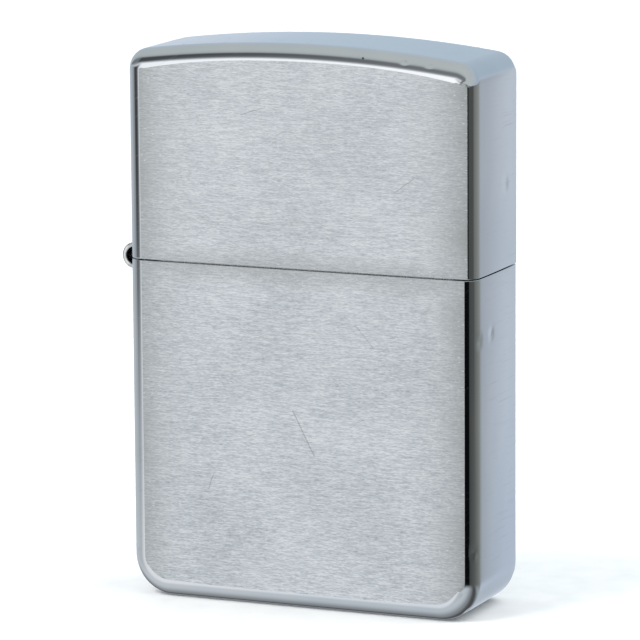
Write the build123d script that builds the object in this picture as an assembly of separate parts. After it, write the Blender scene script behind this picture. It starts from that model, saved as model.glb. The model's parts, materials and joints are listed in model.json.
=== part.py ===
from build123d import *
import os
from math import acos, atan2, cos, pi, radians, sin, sqrt

# A windproof flip-top petrol lighter, closed, in millimetres.
# The origin is the centre of the case's base. +X points away from the hinge, the wide
# front faces -Y, and +Z is up.

# ---- Outer case and lid ----------------------------------------------------------------
width = 38.1            # hinge side to opening side, X
depth = 12.7            # front to back, Y
case_height = 34.84     # base to the rim of the bottom half
lid_gap = 0.12          # dark line between the two halves
lid_height = 22.54      # lid's rim to the crown of its top
wall = 0.75             # sheet thickness of case and lid
dome_rise = 1.38        # how far the lid's top bulges between its corners
base_corner = 3.4       # corner radius at the base, seen from the front
lid_corner = 2.6        # corner radius at the top, seen from the front
edge_radius = 1.6       # rounding along every outer edge, front and back

# ---- Hinge -----------------------------------------------------------------------------
hinge_offset = 0.05     # hinge axis outside the case wall
barrel_diameter = 2.7
hinge_length = 8.6
knuckle_count = 5
knuckle_gap = 0.08      # between neighbouring knuckles
hinge_pin_diameter = 1.1
pin_head_diameter = 1.7
pin_head_height = 0.18
pin_grip = 0.01         # pin in the case's knuckles, radial
pin_play = 0.05         # pin in the lid's knuckles, radial
barrel_play = 0.12      # barrel in the notch of the shells
leaf_thickness = 0.5
lower_leaf_height = 8.2
upper_leaf_height = 6.6
tab_reach = 3.4         # cam tab's tip from the hinge axis, X
tab_width = 3.0
tab_lift = 0.3          # cam tab above the deck

# ---- Insert ----------------------------------------------------------------------------
insert_side_play = 0.15     # insert to the case's front and back walls
insert_end_play = 0.2       # insert to the case's far end wall
insert_hinge_play = 0.15    # insert to the hinge barrel
insert_seat_play = 0.1      # insert above the rounded corners of the case's base
insert_wall = 0.4
insert_corner = 2.2         # upright corners of the insert
deck_rise = 2.2             # deck above the hinge axis
deck_thickness = 0.5
deck_play = 0.03            # deck plate inside the insert's rim

# ---- Chimney ---------------------------------------------------------------------------
chimney_height = 16.6       # above the deck
chimney_side_play = 0.5     # chimney to the lid's front and back walls
chimney_wall = 0.5
chimney_left = -8.5         # closed, rounded end
chimney_end_radius = 3.2
chimney_top_right = 6.0     # where the top edge starts to fall towards the wheel
hole_diameter = 2.3
hole_pitch = 3.8
hole_row_pitch = 3.7
hole_centre_x = -0.3
hole_centre_above_deck = 9.4

# ---- Flint wheel -----------------------------------------------------------------------
wheel_x = 10.6
wheel_above_deck = 8.7
wheel_diameter = 8.0
wheel_band_width = 6.0
wheel_hub_diameter = 4.0
wheel_hub_play = 0.1        # hub to each ear
wheel_teeth = 30
tooth_depth = 0.32
wheel_bore_play = 0.05
wheel_rivet_diameter = 1.8
wheel_rivet_head = 2.8
rivet_head_height = 0.3
ear_radius = 2.7

# ---- Cam, its spring and their rivets --------------------------------------------------
cam_x = -11.2
cam_above_deck = 3.6
cam_boss_radius = 2.0
cam_width = 2.4
cam_nose_radius = 0.6
cam_nose_play = 0.14        # nose to the sweep of the lid's tab
cam_nose_angle = 34.0       # nose seen from the hinge axis, above level, degrees
cam_rivet_diameter = 1.2
cam_rivet_head = 2.0
cam_side_play = 0.12        # cam to each ear
cam_bore_play = 0.04
cam_ear_length = 2.0        # ear beyond the cam's pivot
cam_spring_thickness = 0.3
cam_spring_width = 2.6
cam_spring_play = 0.06      # spring to the cam's heel
cam_spring_foot = 14.4      # foot of the spring below the deck
slot_play = 0.25

# ---- Flint feed ------------------------------------------------------------------------
flint_diameter = 2.4
flint_length = 5.0
flint_wheel_play = 0.05
flint_tube_bore = 2.7
flint_tube_wall = 0.65
flint_tube_below_wheel = 0.9
spring_tip_height = 1.2
spring_tip_stem = 1.6
spring_tip_stem_diameter = 1.3
spring_wire = 0.36
spring_pitch = 1.7
spring_side_play = 0.06
feed_travel = 1.5           # how far the flint can be pushed down
screw_head_diameter = 5.2
screw_head_height = 1.7
screw_shank_length = 5.0
screw_thread_play = 0.03
screw_slot_width = 0.9
screw_slot_depth = 0.8

# ---- Wick, packing and felt ------------------------------------------------------------
wick_x = -2.5
wick_diameter = 3.0
wick_above_deck = 6.6
wick_hole_play = 0.15
felt_thickness = 2.5
felt_play = 0.1
packing_play = 0.25         # between the cotton balls and what surrounds them
left_balls = 3
right_balls = 2
ball_rounding = 3.4

# ---- Places worked out from the sizes above --------------------------------------------
height = case_height + lid_gap + lid_height
split = case_height + lid_gap / 2
hinge_x = -(width / 2 + hinge_offset)
barrel_radius = barrel_diameter / 2
wall_inside = width / 2 - wall
insert_left = hinge_x + barrel_radius + insert_hinge_play
insert_right = wall_inside - insert_end_play
insert_depth = depth - 2 * wall - 2 * insert_side_play
seat_radius = base_corner - wall
seat_run = insert_right - (width / 2 - base_corner)
insert_bottom = base_corner - sqrt(seat_radius**2 - seat_run**2) + insert_seat_play
insert_middle = (insert_left + insert_right) / 2
insert_width = insert_right - insert_left
deck = split + deck_rise
deck_underside = deck - deck_thickness
chimney_depth = depth - 2 * wall - 2 * chimney_side_play
ear_inside = chimney_depth / 2 - chimney_wall
wheel_z = deck + wheel_above_deck
wheel_radius = wheel_diameter / 2
cam_z = deck + cam_above_deck
cam_ear_inside = cam_width / 2 + cam_side_play
tab_bottom = deck + tab_lift
tab_sweep = sqrt(tab_reach**2 + (tab_bottom + leaf_thickness - split) ** 2)
flint_top = wheel_z - wheel_radius - flint_wheel_play
flint_bottom = flint_top - flint_length
felt_bottom = insert_bottom
felt_top = felt_bottom + felt_thickness
screw_head_bottom = felt_bottom + (felt_thickness - screw_head_height) / 2
tube_bottom = screw_head_bottom + screw_head_height
tube_top = wheel_z - wheel_radius - flint_tube_below_wheel
tube_radius = flint_tube_bore / 2 + flint_tube_wall
cam_spring_left = insert_left + insert_wall


def save(part, node):
    """Write one node's solids to its own file."""
    export_step(part, f"parts/{node}.step")


def rod(radius, start, end, x=0.0, y=0.0):
    """Upright round bar from height start to height end."""
    bar = Cylinder(radius, end - start, align=(Align.CENTER, Align.CENTER, Align.MIN))
    return Pos(x, y, start) * bar


def cross_rod(radius, x, z, start, end):
    """Round bar that lies front to back, from Y start to Y end."""
    bar = Cylinder(radius, end - start, align=(Align.CENTER, Align.CENTER, Align.MIN))
    return Pos(x, start, z) * Rot(-90, 0, 0) * bar


def block(low, high):
    """Box between two opposite corners."""
    size = [b - a for a, b in zip(low, high)]
    return Pos(*low) * Box(*size, align=(Align.MIN, Align.MIN, Align.MIN))


def plate(outline, middle_y, thickness):
    """Front-view outline (x to the right, y up) made a plate of a given thickness."""
    return Pos(0, middle_y, 0) * extrude(Plane.XZ * outline, thickness / 2, both=True)


def rounded_column(x_low, x_high, total_depth, z_low, z_high, corner):
    """Upright block whose four upright corners are rounded."""
    plan = RectangleRounded(x_high - x_low, total_depth, corner)
    return Pos((x_low + x_high) / 2, 0, z_low) * extrude(plan, z_high - z_low)


# ---- Case and lid ----------------------------------------------------------------------
def closed_body(inset):
    """Whole closed lighter, domed on top, with its surface moved in by the inset."""
    half = width / 2 - inset
    dome_radius = (width**2 / 4 + dome_rise**2) / (2 * dome_rise)
    dome_centre = height - dome_radius
    shoulder = dome_centre + sqrt((dome_radius - inset) ** 2 - half**2)
    sides = Polyline((-half, shoulder), (-half, inset), (half, inset), (half, shoulder))
    crown = ThreePointArc((half, shoulder), (0, height - inset), (-half, shoulder))
    front = make_face(sides + crown)
    corners = front.vertices().group_by(Axis.Y)
    front = fillet(corners[0], base_corner - inset)
    front = fillet(front.vertices().sort_by(Axis.Y)[-2:], lid_corner - inset)
    body = plate(front, 0, depth - 2 * inset)
    rims = body.faces().filter_by(Axis.Y).edges()
    return fillet(rims, edge_radius - inset)


def hinge_notch():
    """Round relief for the hinge barrel in the wall of each shell."""
    reach = hinge_length / 2 + pin_head_height + barrel_play
    return cross_rod(barrel_radius + barrel_play, hinge_x, split, -reach, reach)


def make_shells():
    """Bottom half and lid: one thin shell cut at the split."""
    shell = closed_body(0) - closed_body(wall) - hinge_notch()
    low = (-width, -depth, -1)
    case = shell & block(low, (width, depth, case_height))
    lid = shell & block((-width, -depth, case_height + lid_gap), (width, depth, height + 1))
    return case, lid


def knuckles(first, bore_play):
    """Every second knuckle of the barrel, starting with the given one."""
    pitch = hinge_length / knuckle_count
    bars = []
    for number in range(first, knuckle_count, 2):
        start = -hinge_length / 2 + number * pitch + knuckle_gap / 2
        bars.append((start, start + pitch - knuckle_gap))
    solid = Part() + [cross_rod(barrel_radius, hinge_x, split, a, b) for a, b in bars]
    bore = cross_rod(hinge_pin_diameter / 2 + bore_play, hinge_x, split, -depth, depth)
    return solid, bore


def knuckle_relief(first):
    """Room that a leaf leaves for the other leaf's knuckles."""
    pitch = hinge_length / knuckle_count
    cuts = []
    for number in range(first, knuckle_count, 2):
        start = -hinge_length / 2 + number * pitch - knuckle_gap / 2
        end = start + pitch + knuckle_gap
        cuts.append(cross_rod(barrel_radius + knuckle_gap, hinge_x, split, start, end))
    return Part() + cuts


def make_lower_leaf():
    """Plate inside the case's wall that carries the outer and middle knuckles."""
    edge = hinge_length / 2 - knuckle_gap / 2
    flat = block(
        (-wall_inside, -edge, split - lower_leaf_height),
        (-wall_inside + leaf_thickness, edge, split),
    )
    barrel, bore = knuckles(0, pin_grip)
    return flat - knuckle_relief(1) + barrel - bore


def make_upper_leaf():
    """Plate inside the lid's wall with two knuckles and the tab that the cam holds."""
    edge = hinge_length / 2 - knuckle_gap / 2
    flat = block(
        (-wall_inside, -edge, split),
        (-wall_inside + leaf_thickness, edge, split + upper_leaf_height),
    )
    tab = block(
        (-wall_inside, -tab_width / 2, tab_bottom),
        (hinge_x + tab_reach, tab_width / 2, tab_bottom + leaf_thickness),
    )
    barrel, bore = knuckles(1, pin_play)
    return flat + tab - knuckle_relief(0) + barrel - bore


def make_hinge_pin():
    """Pin through the whole barrel, peened over at both ends."""
    half = hinge_length / 2 - knuckle_gap / 2
    pin = cross_rod(hinge_pin_diameter / 2, hinge_x, split, -half, half)
    for start in (-half - pin_head_height, half):
        pin += cross_rod(pin_head_diameter / 2, hinge_x, split, start, start + pin_head_height)
    return pin


# ---- Insert ----------------------------------------------------------------------------
def make_insert_casing():
    """Open tube of thin sheet with rounded upright corners."""
    outer = rounded_column(
        insert_left, insert_right, insert_depth, insert_bottom, deck, insert_corner
    )
    inner = rounded_column(
        insert_left + insert_wall,
        insert_right - insert_wall,
        insert_depth - 2 * insert_wall,
        insert_bottom - 1,
        deck + 1,
        insert_corner - insert_wall,
    )
    hole = Pos(insert_left, 0, deck - cam_spring_foot + cam_spring_width / 2)
    hole *= Rot(0, 90, 0) * Cylinder(cam_rivet_diameter / 2 + pin_grip, 4 * insert_wall)
    return outer - inner - hole


def make_insert_deck():
    """Top plate with holes for the wick, the flint tube and the cam's spring."""
    inset = insert_wall + deck_play
    top = rounded_column(
        insert_left + inset,
        insert_right - inset,
        insert_depth - 2 * inset,
        deck_underside,
        deck,
        insert_corner - inset,
    )
    below = deck_underside - 1
    top -= rod(wick_diameter / 2 + wick_hole_play, below, deck + 1, wick_x)
    top -= rod(tube_radius + pin_grip, below, deck + 1, wheel_x)
    half_slot = cam_spring_width / 2 + slot_play
    slot_side = cam_spring_thickness / 2 + slot_play
    slot_low = (cam_x - slot_side, -half_slot, below)
    return top - block(slot_low, (cam_x + slot_side, half_slot, deck + 1))


def chimney_side_outline():
    """Front view of the chimney: tall over the wick, falling to the ear of the wheel."""
    top = deck + chimney_height
    ear_right = wheel_x + ear_radius
    line = Polyline(
        (chimney_left, deck),
        (chimney_left, top),
        (chimney_top_right, top),
        (wheel_x - ear_radius - 0.4, wheel_z + ear_radius),
        (wheel_x, wheel_z + ear_radius),
        (ear_right, wheel_z),
        (ear_right - 0.6, deck),
        (chimney_left, deck),
    )
    outline = make_face(line)
    ear = Pos(wheel_x, wheel_z) * Circle(ear_radius)
    return outline + ear


def make_chimney():
    """Perforated wind guard with ears for the wheel's rivet and for the cam's rivet."""
    right = wheel_x + 3 * ear_radius
    outer = rounded_column(
        chimney_left, right, chimney_depth, deck, deck + chimney_height, chimney_end_radius
    )
    inner = rounded_column(
        chimney_left + chimney_wall,
        right + 1,
        2 * ear_inside,
        deck - 1,
        deck + chimney_height + 1,
        chimney_end_radius - chimney_wall,
    )
    guard = (outer - inner) & plate(chimney_side_outline(), 0, 2 * depth)
    for row, columns in ((-1, 3), (0, 2), (1, 3)):
        z = deck + hole_centre_above_deck + row * hole_row_pitch
        for column in range(columns):
            x = hole_centre_x + (column - (columns - 1) / 2) * hole_pitch
            guard -= cross_rod(hole_diameter / 2, x, z, -depth, depth)
    guard += cam_ears()
    guard -= cross_rod(wheel_rivet_diameter / 2 + pin_grip, wheel_x, wheel_z, -depth, depth)
    return guard - cross_rod(cam_rivet_diameter / 2 + pin_grip, cam_x, cam_z, -depth, depth)


def cam_ears():
    """Two small plates at the chimney's closed end, one on each side of the cam."""
    low_x = cam_x - cam_ear_length
    high_x = chimney_left + chimney_wall / 2
    outline = make_face(
        Polyline(
            (low_x, deck),
            (low_x, cam_z),
            (cam_x, cam_z + cam_ear_length),
            (high_x, cam_z + cam_ear_length),
            (high_x, deck),
            (low_x, deck),
        )
    )
    outline += Pos(cam_x, cam_z) * Circle(cam_ear_length)
    middle = cam_ear_inside + chimney_wall / 2
    return plate(outline, middle, chimney_wall) + plate(outline, -middle, chimney_wall)


# ---- Wheel -----------------------------------------------------------------------------
def toothed_disc(thickness, middle_y):
    """Disc whose rim is cut with V-shaped teeth."""
    points = []
    for tooth in range(wheel_teeth):
        angle = 2 * pi * tooth / wheel_teeth
        for shift, radius in ((0, wheel_radius), (0.5, wheel_radius - tooth_depth)):
            turn = angle + shift * 2 * pi / wheel_teeth
            points.append((radius * cos(turn), radius * sin(turn)))
    outline = Pos(wheel_x, wheel_z) * make_face(Polyline(*points, close=True))
    return plate(outline, middle_y, thickness)


def make_flint_wheel():
    """Hardened wheel: toothed band, with a plain hub that spaces it from the ears."""
    hub = ear_inside - wheel_hub_play
    wheel = toothed_disc(wheel_band_width, 0)
    wheel += cross_rod(wheel_hub_diameter / 2, wheel_x, wheel_z, -hub, hub)
    bore = wheel_rivet_diameter / 2 + wheel_bore_play
    return wheel - cross_rod(bore, wheel_x, wheel_z, -depth, depth)


def rivet(shank_diameter, head_diameter, x, z, half_grip):
    """Cross rivet with a low head on each end."""
    pin = cross_rod(shank_diameter / 2, x, z, -half_grip, half_grip)
    for start in (-half_grip - rivet_head_height, half_grip):
        pin += cross_rod(head_diameter / 2, x, z, start, start + rivet_head_height)
    return pin


# ---- Cam -------------------------------------------------------------------------------
def cam_nose():
    """Centre of the nose, just outside the circle that the lid's tab sweeps."""
    reach = tab_sweep + cam_nose_play + cam_nose_radius
    angle = radians(cam_nose_angle)
    return hinge_x + reach * cos(angle), split + reach * sin(angle)


def make_cam():
    """Small lever with a round heel at its pivot and a nose that holds the lid's tab."""
    nose_x, nose_z = cam_nose()
    span = sqrt((nose_x - cam_x) ** 2 + (nose_z - cam_z) ** 2)
    lean = atan2(nose_z - cam_z, nose_x - cam_x)
    tilt = acos((cam_boss_radius - cam_nose_radius) / span)
    corners = []
    for side in (1, -1):
        turn = lean + side * tilt
        corners.append(((cam_x, cam_z), cam_boss_radius, turn))
        corners.append(((nose_x, nose_z), cam_nose_radius, turn))
    points = [(c[0] + r * cos(t), c[1] + r * sin(t)) for c, r, t in corners]
    web = make_face(Polyline(points[0], points[1], points[3], points[2], points[0]))
    outline = web + Pos(cam_x, cam_z) * Circle(cam_boss_radius)
    outline += Pos(nose_x, nose_z) * Circle(cam_nose_radius)
    cam = plate(outline, 0, cam_width)
    bore = cam_rivet_diameter / 2 + cam_bore_play
    return cam - cross_rod(bore, cam_x, cam_z, -depth, depth)


def make_cam_spring():
    """Flat strip riveted inside the insert that comes up under the cam's heel."""
    half = cam_spring_thickness / 2
    wall_x = cam_spring_left + half
    foot = deck - cam_spring_foot
    tip_z = cam_z - cam_boss_radius - cam_spring_play - half
    path = FilletPolyline(
        (wall_x, foot),
        (wall_x, deck - 4.4),
        (cam_x, deck - 1.4),
        (cam_x, tip_z),
        (cam_x + 1.6, tip_z),
        radius=[0.9, 0.9, 0.5],
    )
    strip = trace(path, cam_spring_thickness)
    spring = plate(strip, 0, cam_spring_width)
    hole = Pos(wall_x, 0, foot + cam_spring_width / 2) * Rot(0, 90, 0)
    return spring - hole * Cylinder(cam_rivet_diameter / 2 + pin_grip, 4 * half)


def make_cam_spring_rivet():
    """Rivet through the insert's end wall and the foot of the cam's spring."""
    z = deck - cam_spring_foot + cam_spring_width / 2
    outside = insert_left
    inside = cam_spring_left + cam_spring_thickness
    turned = Rot(0, 90, 0)
    up = (Align.CENTER, Align.CENTER, Align.MIN)
    pin = Pos(outside, 0, z) * turned * Cylinder(
        cam_rivet_diameter / 2, inside - outside, align=up
    )
    for start in (outside - rivet_head_height, inside):
        head = Cylinder(cam_rivet_head / 2, rivet_head_height, align=up)
        pin += Pos(start, 0, z) * turned * head
    return pin


# ---- Flint feed ------------------------------------------------------------------------
def make_flint_tube():
    """Tube from the felt pad through the deck to just under the wheel."""
    tube = rod(tube_radius, tube_bottom, tube_top, wheel_x)
    return tube - rod(flint_tube_bore / 2, tube_bottom - 1, tube_top + 1, wheel_x)


def make_flint():
    """Small round stick of flint alloy, pressed up against the wheel."""
    return rod(flint_diameter / 2, flint_bottom, flint_top, wheel_x)


def make_spring_tip():
    """Plug on the spring's upper end that carries the flint."""
    low = flint_bottom - spring_tip_height
    tip = rod(flint_diameter / 2, low, flint_bottom, wheel_x)
    return tip + rod(spring_tip_stem_diameter / 2, low - spring_tip_stem, low, wheel_x)


def make_flint_spring():
    """Coil spring between the screw and the spring tip."""
    low = tube_bottom + screw_shank_length
    high = flint_bottom - spring_tip_height
    radius = flint_tube_bore / 2 - spring_side_play - spring_wire / 2
    length = high - low - spring_wire - 2 * spring_side_play
    start = low + spring_wire / 2 + spring_side_play
    helix = Helix(spring_pitch, length, radius)
    section = Plane(helix @ 0, z_dir=helix % 0) * Circle(spring_wire / 2)
    return Pos(wheel_x, 0, start) * sweep(section, path=helix, is_frenet=True)


def make_flint_screw():
    """Slotted screw that closes the flint tube from below."""
    screw = rod(screw_head_diameter / 2, screw_head_bottom, tube_bottom, wheel_x)
    shank = flint_tube_bore / 2 - screw_thread_play
    screw += rod(shank, tube_bottom, tube_bottom + screw_shank_length, wheel_x)
    return screw - block(
        (wheel_x - screw_head_diameter, -screw_slot_width / 2, screw_head_bottom - 1),
        (
            wheel_x + screw_head_diameter,
            screw_slot_width / 2,
            screw_head_bottom + screw_slot_depth,
        ),
    )


# ---- Wick, packing and felt ------------------------------------------------------------
def make_wick():
    """Round woven wick, from the foot of the packing to inside the chimney."""
    foot = felt_top + packing_play
    return rod(wick_diameter / 2, foot, deck + wick_above_deck, wick_x)


def make_felt_pad():
    """Pad that closes the insert, with a round hole for the flint screw."""
    gap = insert_wall + felt_play
    pad = rounded_column(
        insert_left + gap,
        insert_right - gap,
        insert_depth - 2 * gap,
        felt_bottom,
        felt_top,
        insert_corner - gap,
    )
    hole = screw_head_diameter / 2 + felt_play
    return pad - rod(hole, felt_bottom - 1, felt_top + 1, wheel_x)


def cotton_column(x_low, x_high, z_high, count):
    """Column of soft cotton balls packed on top of each other."""
    z_low = felt_top + packing_play
    step = (z_high - z_low) / count
    gap = insert_wall + packing_play
    width_y = insert_depth - 2 * gap
    balls = []
    for number in range(count):
        size = (x_high - x_low, width_y, step - packing_play)
        rounding = min(ball_rounding, 0.45 * min(size))
        ball = fillet(Box(*size).edges(), rounding)
        middle = z_low + (number + 0.5) * step
        balls.append(Pos((x_low + x_high) / 2, 0, middle) * ball)
    return balls


def make_cotton():
    """Cotton balls on both sides of the wick; the flint tube bounds the right column."""
    wick_side = wick_diameter / 2 + packing_play
    left = insert_left + insert_wall + cam_spring_thickness + rivet_head_height + packing_play
    left_top = deck - 4.4 - packing_play
    right_high = wheel_x - tube_radius - packing_play
    right_top = deck_underside - packing_play
    balls = cotton_column(left, wick_x - wick_side, left_top, left_balls)
    return balls + cotton_column(wick_x + wick_side, right_high, right_top, right_balls)


def main():
    os.makedirs("parts", exist_ok=True)
    case, lid = make_shells()
    save(case, "case_bottom")
    save(lid, "case_lid")
    save(make_lower_leaf(), "hinge_leaf_lower")
    save(make_upper_leaf(), "hinge_leaf_upper")
    save(make_hinge_pin(), "hinge_pin")
    save(make_insert_casing(), "insert_casing")
    save(make_insert_deck(), "insert_deck")
    save(make_chimney(), "chimney")
    save(make_flint_wheel(), "flint_wheel")
    ear_outside = ear_inside + chimney_wall
    wheel_pin = rivet(wheel_rivet_diameter, wheel_rivet_head, wheel_x, wheel_z, ear_outside)
    save(wheel_pin, "wheel_rivet")
    save(make_cam(), "cam")
    cam_grip = cam_ear_inside + chimney_wall
    save(rivet(cam_rivet_diameter, cam_rivet_head, cam_x, cam_z, cam_grip), "cam_rivet")
    save(make_cam_spring(), "cam_spring")
    save(make_cam_spring_rivet(), "cam_spring_rivet")
    save(make_flint_tube(), "flint_tube")
    save(make_flint(), "flint")
    save(make_spring_tip(), "flint_spring_tip")
    save(make_flint_spring(), "flint_spring")
    save(make_flint_screw(), "flint_screw")
    save(make_wick(), "wick")
    save(make_felt_pad(), "felt_pad")
    for number, ball in enumerate(make_cotton(), start=1):
        save(ball, f"cotton_ball_{number}")


main()
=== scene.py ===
"""Finished look of a windproof flip-top lighter, built around its CAD frame.

Shapes are worked out in millimetres and written to meshes in metres.
+X points away from the hinge, the wide front faces -Y, +Z is up.
"""
import json

import bmesh
import bpy
import numpy as np
from bpy.props import FloatProperty, FloatVectorProperty, IntProperty, PointerProperty
from bpy.types import Operator, Panel, PropertyGroup
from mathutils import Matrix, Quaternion, Vector


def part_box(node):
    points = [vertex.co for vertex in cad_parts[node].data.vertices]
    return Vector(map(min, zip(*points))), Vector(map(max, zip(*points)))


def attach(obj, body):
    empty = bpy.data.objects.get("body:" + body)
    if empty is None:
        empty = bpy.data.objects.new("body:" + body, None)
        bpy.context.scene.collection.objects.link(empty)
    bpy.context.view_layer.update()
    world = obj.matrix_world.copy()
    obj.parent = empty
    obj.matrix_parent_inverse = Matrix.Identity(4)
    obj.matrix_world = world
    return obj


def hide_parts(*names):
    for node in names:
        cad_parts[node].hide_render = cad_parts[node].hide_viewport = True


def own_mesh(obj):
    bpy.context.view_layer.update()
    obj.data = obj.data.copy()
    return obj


bl_info = {
    "name": "Flip-top lighter",
    "version": (1, 0, 0),
    "blender": (4, 5, 0),
    "location": "3D View > Sidebar > Lighter",
    "description": "Builds a windproof flip-top lighter around its CAD frame",
    "category": "Object",
}

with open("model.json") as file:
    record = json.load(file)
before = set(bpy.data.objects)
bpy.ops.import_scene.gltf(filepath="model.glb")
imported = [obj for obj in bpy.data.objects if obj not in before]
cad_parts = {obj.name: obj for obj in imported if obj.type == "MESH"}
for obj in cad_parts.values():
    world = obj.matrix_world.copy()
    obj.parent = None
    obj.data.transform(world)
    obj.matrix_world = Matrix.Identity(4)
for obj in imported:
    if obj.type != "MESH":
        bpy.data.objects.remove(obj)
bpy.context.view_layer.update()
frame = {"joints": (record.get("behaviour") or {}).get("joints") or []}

MM = 0.001
RIM_LOOP = 0.05     # first row of points above an open rim, in millimetres
WELD = 2e-8         # points closer than this are one point, in metres
OUTLINE_STEP = 0.25  # between points along a shell's closed end, in millimetres
ROUND_POINTS = 18   # across each rounded edge of a shell
SIDE_POINTS = 26    # across a shell's narrow side
ROWS_PER_MM = 2     # up a shell's outer sides
INNER_ROWS = 9      # up a shell's inner sides
SHEET_EDGE = 0.06   # broken edge of small sheet parts, in millimetres
PANEL_MARGIN = 0.03, 0.34  # buffed margin at a panel's middle and its growth to the corners
TAU = 2 * np.pi

# Dents in the shells: centre, radius, depth (millimetres) and the direction of the blow.
LID_DENTS = (
    ((11.6, -6.1, 56.3), 0.22, 0.15, (-0.2, 0.6, -0.7)),
    ((12.2, -5.8, 56.5), 0.20, 0.12, (-0.2, 0.6, -0.7)),
    ((14.2, -6.1, 56.1), 0.22, 0.14, (0.1, 0.6, -0.7)),
    ((13.8, -5.7, 56.4), 0.18, 0.10, (0.1, 0.6, -0.7)),
    ((18.3, -5.6, 54.9), 0.26, 0.13, (-0.6, 0.5, -0.4)),
    ((-3.1, -5.9, 57.1), 0.20, 0.07, (0.0, 0.4, -0.8)),
    ((19.0, 2.1, 43.5), 0.45, 0.05, (-1.0, 0.0, 0.0)),
)
CASE_DENTS = (
    ((18.9, -4.9, 28.6), 0.36, 0.10, (-0.9, 0.3, 0.0)),
    ((19.0, -1.9, 28.9), 0.34, 0.07, (-1.0, 0.0, 0.0)),
    ((18.6, -5.6, 7.4), 0.40, 0.10, (-0.7, 0.6, 0.1)),
    ((17.6, -4.8, 1.1), 0.36, 0.10, (-0.6, 0.4, 0.6)),
    ((-18.4, -5.8, 5.2), 0.34, 0.09, (0.6, 0.6, 0.1)),
    ((9.0, 5.9, 1.0), 0.32, 0.08, (0.0, -0.6, 0.6)),
)


def linear(hex_colour):
    """sRGB hex colour to linear red, green and blue."""
    parts = [int(hex_colour[i : i + 2], 16) / 255 for i in (1, 3, 5)]
    return tuple(c / 12.92 if c <= 0.04045 else ((c + 0.055) / 1.055) ** 2.4 for c in parts)


def box_mm(node):
    """Lowest and highest corner of a CAD node, in millimetres."""
    low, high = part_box(node)
    return np.array(low) / MM, np.array(high) / MM


# ---- Meshes from grids of points -------------------------------------------------------
def quads_of(rows, columns):
    """Corner indices of every cell of a grid with that many rows and columns of points."""
    row, column = np.meshgrid(np.arange(rows - 1), np.arange(columns - 1), indexing="ij")
    first = (row * columns + column).ravel()
    return np.stack([first, first + columns, first + columns + 1, first + 1], axis=1)


def mesh_of(name, grids, slots=None):
    """One mesh of several grids (rows, columns, 3) in millimetres, welded where they meet.

    slots gives each grid's material number. Normals are turned outwards after the weld.
    """
    points, quads, numbers = [], [], []
    start = 0
    for number, grid in enumerate(grids):
        rows, columns = grid.shape[:2]
        points.append(grid.reshape(-1, 3))
        cells = quads_of(rows, columns) + start
        quads.append(cells)
        numbers.append(np.full(len(cells), slots[number] if slots else 0))
        start += rows * columns
    mesh = bpy.data.meshes.new(name)
    mesh.from_pydata(np.concatenate(points) * MM, [], np.concatenate(quads))
    mesh.polygons.foreach_set("material_index", np.concatenate(numbers).astype(np.int32))
    shell = bmesh.new()
    shell.from_mesh(mesh)
    bmesh.ops.remove_doubles(shell, verts=shell.verts, dist=WELD)
    bmesh.ops.dissolve_degenerate(shell, edges=shell.edges, dist=WELD)
    bmesh.ops.recalc_face_normals(shell, faces=shell.faces)
    shell.to_mesh(mesh)
    shell.free()
    return mesh


def object_of(mesh, materials=()):
    """Object for a mesh, at the origin, with its materials, smooth-shaded."""
    thing = bpy.data.objects.new(mesh.name, mesh)
    bpy.context.scene.collection.objects.link(thing)
    for material in materials:
        mesh.materials.append(material)
    mesh.polygons.foreach_set("use_smooth", np.ones(len(mesh.polygons), bool))
    return thing


def cut(thing, cutters):
    """Takes closed cutter meshes out of an object, for good."""
    for cutter_mesh in cutters:
        cutter = object_of(cutter_mesh)
        step = thing.modifiers.new("cut", "BOOLEAN")
        step.operation = "DIFFERENCE"
        step.solver = "EXACT"
        step.object = cutter
        bpy.context.view_layer.update()
        evaluated = thing.evaluated_get(bpy.context.evaluated_depsgraph_get())
        result = bpy.data.meshes.new_from_object(evaluated)
        thing.modifiers.clear()
        old = thing.data
        name = old.name
        thing.data = result
        bpy.data.meshes.remove(old)
        result.name = name
        bpy.data.objects.remove(cutter)
        bpy.data.meshes.remove(cutter_mesh)
    return thing


def finish_edges(thing, bevel=0.0, angle=35):
    """Sharp edges by angle, an optional small bevel in millimetres, and weighted normals."""
    if bevel:
        step = thing.modifiers.new("edge rounding", "BEVEL")
        step.width = bevel * MM
        step.segments = 2
        step.limit_method = "ANGLE"
        step.angle_limit = np.radians(angle)
        step.harden_normals = False
        step.use_clamp_overlap = True
    thing.data.set_sharp_from_angle(angle=np.radians(angle))
    step = thing.modifiers.new("even normals", "WEIGHTED_NORMAL")
    step.keep_sharp = True
    step.weight = 50
    return thing


def place(thing, body, nodes):
    """The piece rides on a body, takes a material slot and stands for CAD nodes."""
    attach(thing, body)
    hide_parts(*nodes)
    return thing


def piece(name, grids, look, body, node, angle=35):
    """One piece from its grids, with edges finished, that stands for one CAD node."""
    thing = finish_edges(object_of(mesh_of(name, grids), [look]), angle=angle)
    return place(thing, body, [node])


# ---- Shapes ----------------------------------------------------------------------------
def arc(centre, radius, start, end, steps):
    """Points on a circle from one angle to another, in degrees."""
    turn = np.radians(np.linspace(start, end, steps))
    return np.stack([centre[0] + radius * np.cos(turn), centre[1] + radius * np.sin(turn)], 1)


def rounded_rectangle(low, high, corner, steps=7):
    """Closed outline of a rectangle with round corners; the last point is the first."""
    x0, y0, x1, y1 = low[0] + corner, low[1] + corner, high[0] - corner, high[1] - corner
    corners = [((x1, y1), 0), ((x0, y1), 90), ((x0, y0), 180), ((x1, y0), 270)]
    outline = np.concatenate([arc(c, corner, a, a + 90, steps) for c, a in corners])
    return np.concatenate([outline, outline[:1]])


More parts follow.
